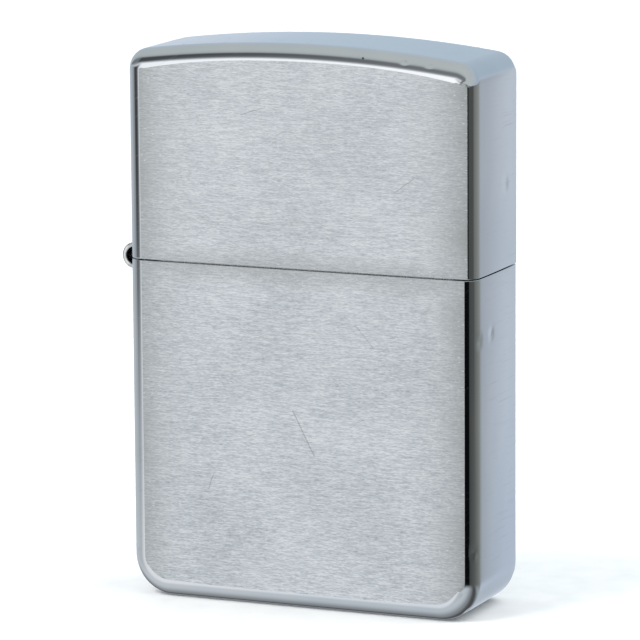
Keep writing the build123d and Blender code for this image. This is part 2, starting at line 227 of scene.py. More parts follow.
def outward(outline):
    """Unit normals of a closed anticlockwise outline, from its neighbours on each side."""
    body = outline[:-1]
    along = np.roll(body, -1, 0) - np.roll(body, 1, 0)
    normal = np.stack([along[:, 1], -along[:, 0]], 1)
    normal /= np.linalg.norm(normal, axis=1, keepdims=True) + 1e-12
    return np.concatenate([normal, normal[:1]])


def plate(outline, low, high, bevel, axes=(0, 2, 1), steps=4):
    """Flat plate: an outline carried along its thickness, rings shrinking to a point on each face.

    The rings are the outline moved in by the bevel's circle; axes says which of X, Y, Z the
    outline's two coordinates and the thickness take.
    """
    turn = np.linspace(0, np.pi / 2, steps)
    inset = bevel * (1 - np.sin(turn))
    depth = bevel * (1 - np.cos(turn))
    rise = np.concatenate([[low], low + depth, high - depth[::-1], [high]])
    inset = np.concatenate([[0], inset, inset[::-1], [0]])
    normal = outward(outline)
    centre = outline[:-1].mean(0)
    rings = outline[None] - inset[:, None, None] * normal[None]
    rings[0] = centre
    rings[-1] = centre
    grid = np.zeros((len(rise), len(outline), 3))
    grid[..., axes[0]] = rings[..., 0]
    grid[..., axes[1]] = rings[..., 1]
    grid[..., axes[2]] = rise[:, None]
    return grid


def block(low, high, bevel=0.05, thin_axis=0):
    """Box with rounded edges, as a plate across its thin axis."""
    flat = [axis for axis in range(3) if axis != thin_axis]
    outline = rounded_rectangle(np.array(low)[flat], np.array(high)[flat], 2 * bevel, 4)
    return plate(outline, low[thin_axis], high[thin_axis], bevel, (*flat, thin_axis))


def lathe(profile, centre, axis, segments=48):
    """Profile of (radius, position along the axis) turned round an axis through the centre."""
    profile = np.asarray(profile, float)
    turn = np.linspace(0, TAU, segments + 1)
    across = [(axis + 1) % 3, (axis + 2) % 3]
    grid = np.zeros((len(profile), segments + 1, 3))
    grid[..., across[0]] = centre[across[0]] + profile[:, :1] * np.cos(turn)
    grid[..., across[1]] = centre[across[1]] + profile[:, :1] * np.sin(turn)
    grid[..., axis] = profile[:, 1:]
    return grid


def rod_profile(radius, low, high, edge, steps=4):
    """Half section of a bar with rounded ends, from its low pole to its high pole."""
    turn = np.linspace(0, np.pi / 2, steps)
    out = radius - edge + edge * np.sin(turn)
    up = edge * (1 - np.cos(turn))
    radii = np.concatenate([[0], out, out[::-1], [0]])
    heights = np.concatenate([[low], low + up, high - up[::-1], [high]])
    return np.stack([radii, heights], 1)


def bar(centre, radius, low, high, axis, segments=48):
    """Plain round bar along an axis: what a drilled hole takes away."""
    return lathe([(0, low), (radius, low), (radius, high), (0, high)], centre, axis, segments)


def sweep(path, section, first_normal):
    """Section (k, 2) carried along a path (n, 3) in a plane; the ends close to a point."""
    along = np.gradient(path, axis=0)
    along /= np.linalg.norm(along, axis=1, keepdims=True)
    side = np.broadcast_to(np.array(first_normal, float), path.shape)
    up = np.cross(side, along)
    up /= np.linalg.norm(up, axis=1, keepdims=True)
    body = path[:, None] + section[None, :, :1] * side[:, None] + section[None, :, 1:] * up[:, None]
    start = np.broadcast_to(path[0], body[0].shape)[None]
    end = np.broadcast_to(path[-1], body[0].shape)[None]
    return np.concatenate([start, body, end])


def coil(centre, radius, wire, low, high, turns, steps=26, around=8):
    """Wire wound on a cylinder: a circle carried along a helix, ends closed to a point."""
    angle = np.linspace(0, turns * TAU, int(turns * steps))
    ends = np.clip(np.minimum(angle, angle[-1] - angle) / TAU, 0, 1)
    wound = np.cumsum(0.35 + 0.65 * ends)
    rise = low + wire + (high - low - 2 * wire) * (wound - wound[0]) / (wound[-1] - wound[0])
    out = np.stack([np.cos(angle), np.sin(angle), np.zeros_like(angle)], 1)
    path = np.array([*centre[:2], 0]) + radius * out
    path[:, 2] = rise
    spin = np.linspace(0, TAU, around + 1)
    body = path[:, None] + wire * (
        np.cos(spin)[None, :, None] * out[:, None] + np.sin(spin)[None, :, None] * np.array([0, 0, 1.0])
    )
    start = np.broadcast_to(path[0], body[0].shape)[None]
    end = np.broadcast_to(path[-1], body[0].shape)[None]
    return np.concatenate([start, body, end])


# ---- Case and lid ----------------------------------------------------------------------
def end_outline(half, length, corner, rise):
    """Front outline of a half shell, from its rim on the left round its closed end.

    Two straight sides, two corner arcs and one wide arc that bulges by the rise. Returns
    points (across, from the rim), outward normals, and how far up the corners start.
    """
    dome = (half**2 + rise**2) / (2 * rise)
    middle = length - dome
    across = half - corner
    corner_up = middle + np.sqrt((dome - corner) ** 2 - across**2)
    lean = np.degrees(np.arcsin(across / (dome - corner)))
    steps = max(10, int(corner * 1.6 / OUTLINE_STEP))
    wide = int(2 * across / OUTLINE_STEP)
    parts = [
        (arc((-across, corner_up), corner, 180, 90 + lean, steps), (-across, corner_up)),
        (arc((0, middle), dome, 90 + lean, 90 - lean, wide)[1:], (0, middle)),
        (arc((across, corner_up), corner, 90 - lean, 0, steps)[1:], (across, corner_up)),
    ]
    points = np.concatenate([p for p, _ in parts])
    normals = np.concatenate([p - np.array(c) for p, c in parts])
    normals /= np.linalg.norm(normals, axis=1, keepdims=True)
    return points, normals, corner_up


def edge_section(depth, radius, inset, crease):
    """Sections across a narrow side: a part of a quarter round, the flat side, the same again.

    Brushing has ground the wide faces down, so the round starts at the crease, an angle in
    radians for every point of the outline. The inner skin (inset above 0) has no crease.
    Returns how far each point lies in from the outline, and its Y.
    """
    start = np.atleast_1d(crease)[:, None] * (inset == 0)
    turn = start + (np.pi / 2 - start) * np.linspace(0, 1, ROUND_POINTS)
    small = radius - inset
    flat = depth / 2 - inset - small * np.cos(start)
    side = flat * np.linspace(-1, 1, SIDE_POINTS)[1:-1]
    move_in = inset + small * (1 - np.sin(turn))
    front_y = -(flat + small * np.cos(turn))
    level = np.full(side.shape, float(inset))
    inward = np.concatenate([move_in, level, move_in[:, ::-1]], axis=1)
    y = np.concatenate([front_y, side, -front_y[:, ::-1]], axis=1)
    return inward, y


def crease_of(line, normals, crease):
    """Crease at each outline point: full on the upright side away from the hinge, then fading."""
    upright = np.clip((normals[:, 0] - 0.92) / 0.08, 0, 1)
    return crease * upright * (line[:, 0] > 0)


def shell_skin(half, depth, length, corner, rise, radius, crease, inset, rim, side_count):
    """Outer skin (inset 0) or inner skin of a half shell.

    The narrow band, then the brushed panels, front and back, then the buffed margins that lie
    between each panel and its rounded end edge and widen towards the corners.
    """
    points, normals, corner_up = end_outline(half, length, corner, rise)
    climb = np.append(rim, np.linspace(rim + RIM_LOOP, corner_up, side_count))[:-1]
    left = np.stack([np.full(len(climb), -half), climb], 1)
    right = np.stack([np.full(len(climb), half), climb[::-1]], 1)
    line = np.concatenate([left, points, right])
    out = np.concatenate([[[-1.0, 0.0]] * len(climb), normals, [[1.0, 0.0]] * len(climb)])
    creases = crease_of(line, out, crease)
    inward, y = edge_section(depth, radius, inset, creases)
    band = np.zeros((*inward.shape, 3))
    band[..., 0] = line[:, :1] - out[:, :1] * inward
    band[..., 2] = line[:, 1:] - out[:, 1:] * inward
    band[..., 1] = y
    first, last = len(climb), len(climb) + len(points)
    top = points - normals * inward[first:last, :1]
    share = (np.append(climb, corner_up) - rim) / (corner_up - rim)
    out_of_middle = np.abs(top[:, 0]) / np.abs(top[0, 0])
    margin = PANEL_MARGIN[0] + PANEL_MARGIN[1] * np.clip(out_of_middle, 0, 1) ** 4
    margin *= np.clip((1 - out_of_middle) / 0.03, 0, 1)
    margin[-1] = 0
    edge = top[:, 1:] - margin[:, None]
    rows = rim + (edge - rim) * share, edge + margin[:, None] * np.linspace(0, 1, 4)
    skins = [band]
    for height in rows:
        for y in (-depth / 2 + inset, depth / 2 - inset):
            x = np.broadcast_to(top[:, :1], height.shape)
            skins.append(np.stack([x, np.full(height.shape, y), height], -1))
    return skins


def rim_loop(half, depth, length, corner, rise, radius, crease, inset):
    """Plan of one skin at the open end: front, right side, back and left side."""
    points, normals, _ = end_outline(half, length, corner, rise)
    creases = crease_of(points, normals, crease)
    inward, y = edge_section(depth, radius, inset, creases)
    x = (points - normals * inward[:, :1])[:, 0]
    front = np.stack([x, np.full(len(x), inset - depth / 2)], 1)
    right = np.stack([half - inward[-1], y[-1]], 1)
    back = np.stack([x[::-1], np.full(len(x), depth / 2 - inset)], 1)
    left = np.stack([inward[0][::-1] - half, y[0][::-1]], 1)
    return np.concatenate([front, right, back, left])


def rim_strip(shared, wall, rounding):
    """Edge of the sheet at the open end: a half section with two small quarter rounds.

    It runs once round the plan, from the outer skin to the inner one, and its ends meet.
    """
    outer, inner = rim_loop(*shared, 0), rim_loop(*shared, wall)
    turn = np.linspace(0, np.pi / 2, 4)
    lead = rounding * (1 - np.cos(turn)) / wall
    share = np.concatenate([lead, 1 - lead[::-1]])
    rise_in = rounding * (1 - np.sin(turn))
    height = np.concatenate([rise_in, rise_in[::-1]])
    grid = np.zeros((len(outer), len(height), 3))
    grid[..., :2] = outer[:, None] + share[None, :, None] * (inner - outer)[:, None]
    grid[..., 2] = height
    return grid


def bowed(grid, half, depth):
    """Pressed sheet is never flat: its faces fall away a little towards every upright edge.

    Y shrinks with the square of the way into the last few millimetres of X, and X with the
    square of Y.
    """
    s = bpy.context.scene.lighter_sizes
    run = s.shoulder_run / MM
    lead = np.clip((np.abs(grid[..., 0]) - (half - run)) / run, 0, 1)
    fall = 1 - s.shoulder_fall / MM / (depth / 2) * lead**2
    side = 1 - s.side_bow / MM / half * (grid[..., 1] / (depth / 2)) ** 2
    return np.stack([grid[..., 0] * side, grid[..., 1] * fall, grid[..., 2]], -1)


def dent(grid, centre, radius, depth, direction):
    """Presses a smooth hollow into a grid: a bell curve of the distance from its centre."""
    distance = np.linalg.norm(grid - np.array(centre), axis=-1, keepdims=True)
    push = np.array(direction, float)
    push /= np.linalg.norm(push)
    return grid + push * depth * np.exp(-((distance / radius) ** 2))


def half_shell(name, node, closed_up, corner, rise, crease, dents):
    """Case or lid: outer skin, inner skin and rim, with a round notch for the hinge barrel."""
    s = bpy.context.scene.lighter_sizes
    low, high = box_mm(node)
    half, depth = high[0], high[1] - low[1]
    length = high[2] - low[2]
    radius, wall, rounding = s.edge_radius / MM, s.wall / MM, s.rim_rounding / MM
    corner, rise = corner / MM, rise / MM
    shared = (half, depth, length, corner, rise, radius, np.radians(crease))
    outer = shell_skin(*shared, 0, rounding, int(length * ROWS_PER_MM))
    inner = shell_skin(*shared, wall, rounding, INNER_ROWS)
    rim = rim_strip(shared, wall, rounding)
    sign, base = (1, low[2]) if closed_up else (-1, high[2])
    grids = []
    for grid in (*outer, *inner, rim):
        grid = bowed(grid, half, depth)
        grid[..., 2] = base + sign * grid[..., 2]
        grids.append(grid)
    for centre, size, deep, push in dents:
        grids[:5] = [dent(grid, centre, size, deep, push) for grid in grids[:5]]
    mesh = mesh_of(name, grids, [0, 1, 1, 0, 0, 2, 2, 2, 2, 2, 0])
    shell = object_of(mesh, [polished_chrome(), brushed_chrome(), satin_plating()])
    return cut(shell, [notch_cutter()])


def notch_cutter():
    """Round bar about the hinge axis, a little larger than the barrel."""
    s = bpy.context.scene.lighter_sizes
    low, high = box_mm("hinge_pin")
    pin_low, pin_high = low[1] - s.barrel_play / MM, high[1] + s.barrel_play / MM
    radius = barrel_radius() + s.barrel_play / MM
    return mesh_of("notch", [bar(hinge_axis(), radius, pin_low, pin_high, 1, 96)])


# ---- Places read from the frame --------------------------------------------------------
def joint_at(name):
    """Where a joint's axis runs, in millimetres."""
    found = [j for j in frame["joints"] if j["name"] == name]
    return np.array(found[0]["pos_m"]) / MM


def hinge_axis():
    """The lid's hinge axis."""
    return joint_at("lid_hinge")


def barrel_radius():
    """Radius of the hinge barrel, from the leaf's outermost point."""
    return hinge_axis()[0] - box_mm("hinge_leaf_lower")[0][0]


# ---- Hinge, wheel, cam and the small round parts ---------------------------------------
def knuckle_grids(first):
    """Every second knuckle, from the given one, as rings with rounded edges."""
    s = bpy.context.scene.lighter_sizes
    low, high = box_mm("hinge_leaf_lower")
    gap = s.knuckle_gap / MM
    start, pitch = low[1] - gap / 2, (high[1] - low[1] + gap) / s.knuckles
    bore = s.knuckle_bore / MM
    grids = []
    for number in range(first, s.knuckles, 2):
        near = start + number * pitch + gap / 2
        ring = rounded_rectangle((bore, near), (barrel_radius(), near + pitch - gap), 0.09, 4)
        grids.append(lathe(ring, hinge_axis(), 1, 56))
    return grids


def leaf_grids(first, sign, reach):
    """Leaf on the inside of a shell: a plate, and a web up to each of its own knuckles."""
    s = bpy.context.scene.lighter_sizes
    axis, low_box = hinge_axis(), box_mm("hinge_leaf_lower")
    inside = low_box[1][0]
    outside = -box_mm("case_bottom")[1][0] + s.wall / MM
    gap = s.knuckle_gap / MM
    edge = low_box[1][1]
    clear = barrel_radius() + gap
    ends = sorted((axis[2] + sign * clear, reach))
    grids = [block((outside, -edge, ends[0]), (inside, edge, ends[1]), SHEET_EDGE)]
    start, pitch = -edge - gap / 2, (2 * edge + gap) / s.knuckles
    for number in range(first, s.knuckles, 2):
        near = start + number * pitch + gap / 2
        ends = sorted((axis[2] + sign * 0.35, axis[2] + sign * (clear + 0.3)))
        low, high = (outside, near, ends[0]), (inside, near + pitch - gap, ends[1])
        grids.append(block(low, high, 0.05))
    return grids


def rivet_profile(shank, head, low, high, head_height):
    """Half section of a cross rivet: shank with a low domed head on each end."""
    turn = np.linspace(0, np.pi / 2, 6)
    radii, lift = head * np.sin(turn), head_height * np.cos(turn)
    start = np.stack([radii, low + head_height - lift], 1)
    end = np.stack([radii[::-1], high - head_height + lift[::-1]], 1)
    neck = [(shank, low + head_height), (shank, high - head_height)]
    return np.concatenate([start, neck, end])


def wheel_grid():
    """Flint wheel: radius as a function of angle and width.

    Two outer bands carry coarse straight teeth, the middle band finer slanted file cuts,
    and a smooth groove parts them. The sides fall to a raised hub.
    """
    s = bpy.context.scene.lighter_sizes
    low, high = box_mm("flint_wheel")
    centre = joint_at("flint_wheel_spin")
    radius = (high[0] - low[0]) / 2
    half, hub_end = s.wheel_band / MM / 2, high[1]
    hub, bore, depth = s.wheel_hub_radius / MM, s.wheel_bore / MM, s.tooth_depth / MM
    rim = half * np.linspace(-1, 1, 61)
    turn = np.linspace(0, TAU, 12 * s.wheel_teeth + 1)[None]
    across = np.abs(rim)[:, None] / half
    outer = np.clip((across - 0.46) / 0.03, 0, 1) * np.clip((0.985 - across) / 0.05, 0, 1)
    inner = np.clip((0.40 - across) / 0.04, 0, 1)
    coarse = np.abs(((turn * s.wheel_teeth / TAU) % 1) - 0.5) * 2
    slant = turn * s.wheel_teeth * 2 / TAU + rim[:, None] * 1.6
    file_cut = np.abs((slant % 1) - 0.5) * 2
    sunk = depth * (1 - outer * coarse) * (1 - inner) + depth * inner * (1 - 0.55 * file_cut)
    sunk = np.where((inner == 0) & (outer == 0), depth * 0.95, sunk)
    chamfer = 0.18 * np.clip((across - 0.94) / 0.06, 0, 1)
    radii = radius - sunk - chamfer
    ends = []
    for side in (-1, 1):
        steps = [(radii[0 if side < 0 else -1] - 0.12, side * half), (hub + 0.5, side * (half - 0.25))]
        steps += [(hub + 0.05, side * (half - 0.25)), (hub, side * (half - 0.15))]
        steps += [(hub, side * (hub_end - 0.08)), (hub - 0.08, side * hub_end), (bore, side * hub_end)]
        ends.append(steps[::-1] if side < 0 else steps)
    rows = [*ends[0], *zip(radii, rim), *ends[1], (bore, -hub_end)]
    grid = np.zeros((len(rows), turn.shape[1], 3))
    for number, (r, y) in enumerate(rows):
        r = np.broadcast_to(r, turn.shape[1])
        grid[number, :, 0] = centre[0] + r * np.cos(turn[0])
        grid[number, :, 2] = centre[2] + r * np.sin(turn[0])
        grid[number, :, 1] = y
    return grid


def cam_outline(steps=14):
    """Front view of the cam: a round heel, a rounded nose, and the two tangent lines."""
    s = bpy.context.scene.lighter_sizes
    low, _ = box_mm("cam")
    heel = joint_at("cam_pivot")[[0, 2]]
    heel_radius, nose_radius = s.cam_heel / MM, s.cam_nose / MM
    nose = np.array([low[0], low[2]]) + nose_radius
    run = nose - heel
    lean = np.degrees(np.arctan2(run[1], run[0]))
    tilt = np.degrees(np.arccos((heel_radius - nose_radius) / np.linalg.norm(run)))
    back = arc(heel, heel_radius, lean + tilt, lean + 360 - tilt, 3 * steps)
    tip = arc(nose, nose_radius, lean - tilt, lean + tilt, steps)
    outline = np.concatenate([back, tip])
    return np.concatenate([outline, outline[:1]])


def strip_section(width, thickness, edge=0.04):
    """Section of a flat strip with rounded edges."""
    half = np.array([width / 2, thickness / 2])
    return rounded_rectangle(-half, half, edge, 3)


def bent_path(corners, radii):
    """Line through corners in the XZ plane, each rounded by an arc of its radius."""
    corners = np.array(corners, float)
    points = [corners[:1]]
    for before, corner, after, radius in zip(corners, corners[1:], corners[2:], radii):
        a, b = before - corner, after - corner
        a, b = a / np.linalg.norm(a), b / np.linalg.norm(b)
        half = np.arccos(np.clip(a @ b, -1, 1)) / 2
        centre = corner + (a + b) / np.linalg.norm(a + b) * radius / np.sin(half)
        first = corner + a * radius / np.tan(half)
        last = corner + b * radius / np.tan(half)
        start = np.arctan2(*(first - centre)[::-1])
        turn = (np.arctan2(*(last - centre)[::-1]) - start + np.pi) % TAU - np.pi
        points.append(arc(centre, radius, np.degrees(start), np.degrees(start + turn), 7))
    points.append(corners[-1:])
    line = np.concatenate(points)
    return np.stack([line[:, 0], np.zeros(len(line)), line[:, 1]], 1)


# ---- Insert and chimney ----------------------------------------------------------------
def tube_grid(low, high, corner, wall, edge):
    """Tube of rounded-rectangle plan: its wall's rounded section carried round the plan."""
    plan = rounded_rectangle(low[:2], high[:2], corner, 12)
    normal = outward(plan)
    section = rounded_rectangle((0, low[2]), (wall, high[2]), edge, 4)
    grid = np.zeros((len(plan), len(section), 3))
    grid[..., :2] = plan[:, None] - section[None, :, :1] * normal[:, None]
    grid[..., 2] = section[:, 1]
    return grid


def guard_plan(left, right, half, corner, step):
    """Plan of the wind guard's outer face: from the open end, round the closed end, and back."""
    straight = np.arange(right, left + corner, -step)
    front = np.stack([straight, np.full(len(straight), -half)], 1)
    front_turn = arc((left + corner, -half + corner), corner, 270, 180, 16)
    back_turn = arc((left + corner, half - corner), corner, 180, 90, 16)
    across = np.linspace(-half + corner, half - corner, 12)[1:-1]
    end = np.stack([np.full(len(across), left), across], 1)
    back = front[::-1] * (1, -1)
    plan = np.concatenate([front[:-1], front_turn, end, back_turn, back[1:]])
    along = np.gradient(plan, axis=0)
    normal = np.stack([-along[:, 1], along[:, 0]], 1)
    normal /= np.linalg.norm(normal, axis=1, keepdims=True)
    outwards = np.sign((normal[0] @ np.array([0, -1.0])) or 1)
    return plan, normal * outwards


def guard_top(x, top, shoulder, wheel, ear):
    """Height of the guard at each X: level over the wick, an eased fall, and a round ear."""
    fall = np.clip((x - shoulder) / (wheel[0] - ear - shoulder), 0, 1)
    ear_top = wheel[2] + ear
    eased = top - (top - ear_top) * (3 * fall**2 - 2 * fall**3)
    reach = np.clip((x - wheel[0]) / ear, 0, 1)
    rounded = wheel[2] + ear * np.sqrt(1 - reach**2)
    return np.where(x > wheel[0], rounded, eased)


def guard_grids():
    """Wind guard: the section of its sheet, with a round top edge, carried along the plan."""
    s = bpy.context.scene.lighter_sizes
    low, high = box_mm("chimney")
    wheel = joint_at("flint_wheel_spin")
    ear, sheet = high[0] - wheel[0], s.sheet / MM
    plan, normal = guard_plan(s.guard_end / MM, high[0], high[1], s.guard_corner / MM, 0.3)
    top = guard_top(plan[:, 0], high[2], s.guard_shoulder / MM, wheel, ear) - sheet / 2
    climb = np.linspace(0, 1, 40)
    turn = np.linspace(0, np.pi, 8)[1:-1]
    inset = np.concatenate([0 * climb, sheet / 2 * (1 - np.cos(turn)), sheet + 0 * climb, [0]])
    rise = low[2] + (top[:, None] - low[2]) * climb
    lid_of_sheet = top[:, None] + sheet / 2 * np.sin(turn)
    height = np.concatenate([rise, lid_of_sheet, rise[:, ::-1], rise[:, :1]], axis=1)
    body = np.zeros((len(plan), len(inset), 3))
    body[..., :2] = plan[:, None] - inset[None, :, None] * normal[:, None]
    body[..., 2] = height
    count = len(climb)
    crown = body[:, count : count + len(turn)]
    caps = []
    for row in (0, -1):
        outer, inner = body[row, :count], body[row, count + len(turn) : -1][::-1]
        caps.append(np.stack([outer, inner], 1))
        middle = len(turn) // 2
        caps.append(np.stack([
            np.concatenate([outer[-1:], crown[row, :middle]]),
            np.concatenate([inner[-1:], crown[row, middle:][::-1]]),
        ], 1))
    return [body, *caps]


def guard_holes():
    """Round bars for the wind holes, in rows of three, two and three through both sides."""
    s = bpy.context.scene.lighter_sizes
    low, high = box_mm("chimney")
    radius = s.hole_diameter / MM / 2
    cutters = []
    for row, columns in ((-1, 3), (0, 2), (1, 3)):
        z = low[2] + s.hole_middle / MM + row * s.hole_rows / MM
        for column in range(columns):
            x = s.hole_centre / MM + (column - (columns - 1) / 2) * s.hole_pitch / MM
            cutters.append(bar((x, 0, z), radius, low[1] - 1, high[1] + 1, 1, 40))
    return [mesh_of("holes", cutters)]


def cam_ear_grids():
    """Two ears on the guard's closed end that hold the cam's rivet, rounded at the front."""
    s = bpy.context.scene.lighter_sizes
    low, _ = box_mm("chimney")
    pivot, rivet_low = joint_at("cam_pivot"), box_mm("cam_rivet")[0]
    sheet = s.sheet / MM
    reach = pivot[0] - low[0]
    right = s.guard_end / MM + sheet / 2
    head = s.rivet_head_height / MM
    outline = np.concatenate([
        arc(pivot[[0, 2]], reach, 90, 180, 12),
        [(low[0], low[2]), (right, low[2]), (right, pivot[2] + reach)],
    ])
    outline = np.concatenate([outline, outline[:1]])
    outside = -rivet_low[1] - head
    grids = []
    for side in (-1, 1):
        near, far = sorted((side * (outside - sheet), side * outside))
        grids.append(plate(outline, near, far, SHEET_EDGE))
    return grids


# ---- Wick, cotton and felt -------------------------------------------------------------
def wick_grid():
    """Round braid: two sets of strands wound opposite ways raise the surface where they show.

    The free end is frayed: it domes and its radius wavers.
    """
    s = bpy.context.scene.lighter_sizes
    low, high = box_mm("wick")
    centre = (low + high) / 2
    radius = (high[0] - low[0]) / 2
    turn = np.linspace(0, TAU, 73)[None]
    rise = np.linspace(low[2], high[2] - 0.5, 330)[:, None]
    lay = s.braid_lay / MM
    one = np.cos(s.braid_strands * (turn + TAU * rise / lay / 2))
    two = np.cos(s.braid_strands * (turn - TAU * rise / lay / 2))
    over = np.cos(s.braid_strands * turn) * np.cos(s.braid_strands * np.pi * rise / lay) > 0
    raised = np.where(over, np.abs(one), np.abs(two))
    body = radius - 0.17 * (1 - np.sqrt(raised))
    end_turn = np.linspace(0, np.pi / 2, 9)[1:, None]
    wave = 0.12 * np.sin(5 * turn + 1) + 0.08 * np.sin(11 * turn + 2) + 0.06 * np.sin(17 * turn)
    end = body[-1:] * np.cos(end_turn) * (1 + 0.5 * wave * np.sin(2 * end_turn))
    end_rise = high[2] - 0.5 + 0.5 * np.sin(end_turn) * (1 + 0.4 * wave * np.cos(end_turn))
    radii = np.concatenate([0 * body[:1], body, end])
    heights = np.concatenate([rise[:1] + 0 * turn, rise + 0 * turn, end_rise + 0 * turn])
    grid = np.stack([
        centre[0] + radii * np.cos(turn), centre[1] + radii * np.sin(turn), heights
    ], -1)
    grid[..., 2] = np.minimum(grid[..., 2], high[2])
    grid[-1] = grid[-1].mean(0)
    return grid


def wick_wire_grids():
    """Fine copper wires laid in the braid, each a thin helix on the wick's surface."""
    s = bpy.context.scene.lighter_sizes
    low, high = box_mm("wick")
    centre, radius = (low + high) / 2, (high[0] - low[0]) / 2 - 0.06
    wire = s.wick_wire / MM / 2
    grids = []
    for number in range(4):
        turns = (high[2] - low[2] - 2) / (s.braid_lay / MM) / 2
        grid = coil((0, 0, 0), radius - wire, wire, low[2] + 0.6, high[2] - 0.35, turns)
        spin = number * TAU / 4 + 0.3
        x, y = grid[..., 0].copy(), grid[..., 1].copy()
        grid[..., 0] = centre[0] + x * np.cos(spin) - y * np.sin(spin)
        grid[..., 1] = centre[1] + x * np.sin(spin) + y * np.cos(spin)
        grids.append(grid)
    return grids


def ball_grid(node, seed):
    """Wad of cotton: a swollen block, its surface pushed in and out by a sum of slow waves."""
    low, high = box_mm(node)
    centre, half = (low + high) / 2, (high - low) / 2
    tilt = np.linspace(-np.pi / 2, np.pi / 2, 61)[:, None]
    turn = np.linspace(0, TAU, 121)[None]
    power = 0.55

    def swell(value):
        return np.sign(value) * np.abs(value) ** power

    unit = np.stack([
        swell(np.cos(tilt)) * swell(np.cos(turn)),
        swell(np.cos(tilt)) * swell(np.sin(turn)),
        swell(np.sin(tilt)) * np.ones_like(turn),
    ], -1)
    rng = np.random.default_rng(seed)
    wave = np.zeros(unit.shape[:2])
    for scale, size in ((1.2, 0.5), (2.5, 0.3), (5.0, 0.16), (9.0, 0.08)):
        for _ in range(3):
            direction = rng.normal(size=3)
            direction /= np.linalg.norm(direction)
            wave += size * np.sin(scale * unit @ direction * 3 + rng.uniform(0, TAU))
    shrink = 1 - 0.035 * (wave - wave.min()) / (wave.max() - wave.min()) * 3
    grid = centre + unit * half * shrink[..., None]
    grid[0], grid[-1] = grid[0].mean(0), grid[-1].mean(0)
    return grid


def felt_grid():
    """Felt pad: a plate of the insert's plan with soft edges."""
    s = bpy.context.scene.lighter_sizes
    low, high = box_mm("felt_pad")
    plan = rounded_rectangle(low[:2], high[:2], s.insert_corner / MM - 0.5, 12)
    return plate(plan, low[2], high[2], 0.45, (0, 1, 2), 6)


# ---- Materials -------------------------------------------------------------------------
MATH, MIX, RAMP, BUMP = "ShaderNodeMath", "ShaderNodeMix", "ShaderNodeValToRGB", "ShaderNodeBump"


def shade(value):
    """Linear colour with its alpha, from a hex colour, a colour property or a grey value."""
    if isinstance(value, str):
        value = linear(value)
    elif isinstance(value, (int, float)):
        value = (value, value, value)
    return (*value, 1)


def add(tree, kind, links=(), stops=(), out=0, **settings):
    """Adds one node and gives back one of its outputs, unless it has none.

    settings are the node's own properties. links are its inputs, by name or in order, each a
    value or another node's output. stops are a ramp's (position, colour or grey value) pairs.
    """
    node = tree.nodes.new(kind)
    for key, value in settings.items():
        setattr(node, key, value)
    for number, (position, value) in enumerate(stops):
        if number < 2:
            stop = node.color_ramp.elements[number]
            stop.position = position
        else:
            stop = node.color_ramp.elements.new(position)
        stop.color = shade(value)
    for socket, value in links.items() if isinstance(links, dict) else enumerate(links):
        socket = node.inputs[socket]
        if isinstance(value, bpy.types.NodeSocket):
            tree.links.new(value, socket)
        else:
            socket.default_value = shade(value) if socket.type == "RGBA" else value
    return node.outputs[out] if node.outputs else None


def surface(name, colour, metallic, roughness, **values):
    """Material with one Principled shader; its steady values stand on the shader's own sockets."""
    material = bpy.data.materials.new(name)
    material.use_nodes = True
    tree = material.node_tree
    tree.nodes.clear()
    steady = {"Base Color": colour, "Metallic": metallic, "Roughness": roughness}
    steady.update({key.replace("_", " "): value for key, value in values.items()})
    shader = add(tree, "ShaderNodeBsdfPrincipled", steady).node
    add(tree, "ShaderNodeOutputMaterial", {"Surface": shader.outputs["BSDF"]})
    return material, tree, shader


def dress(shader, links, relief=None):
    """Links a shader's inputs; relief is a height, its depth in millimetres and its strength."""
    tree = shader.id_data
    if relief:
        height, depth, strength = relief
        bump = {"Height": height, "Distance": depth * MM, "Strength": strength}
        links["Normal"] = add(tree, BUMP, bump)
    for name, output in links.items():
        tree.links.new(output, shader.inputs[name])


def field(tree, size, detail=2.0, turn=0.0, shift=0.0):
    """Noise whose patches have a real size, in millimetres along X, Y and Z; turn is about Y."""
    place_at = add(tree, "ShaderNodeTexCoord", out="Object")
    turned = add(tree, "ShaderNodeMapping", {
        "Vector": place_at, "Rotation": (0, turn, 0), "Location": (shift, shift, shift),
    })
    scale = tuple(1 / (length * MM) for length in size)
    stretched = add(tree, "ShaderNodeMapping", {"Vector": turned, "Scale": scale})
    return add(tree, "ShaderNodeTexNoise", {"Vector": stretched, "Scale": 1.0, "Detail": detail})


def nicks(tree, spacing, radius, share):
    """Small pits: one Voronoi cell in a few holds a round hollow of a real radius."""
    place_at = add(tree, "ShaderNodeTexCoord", out="Object")
    cells = add(
        tree, "ShaderNodeTexVoronoi",
        {"Vector": place_at, "Scale": 1 / (spacing * MM), "Randomness": 1.0},
    ).node.outputs
    near = add(tree, MATH, (cells["Distance"], radius / spacing), operation="LESS_THAN")
    parts = add(tree, "ShaderNodeSeparateColor", {"Color": cells["Color"]}).node.outputs
    chosen = add(tree, MATH, (parts["Red"], share), operation="LESS_THAN")
    return add(tree, MATH, (near, chosen), operation="MULTIPLY")


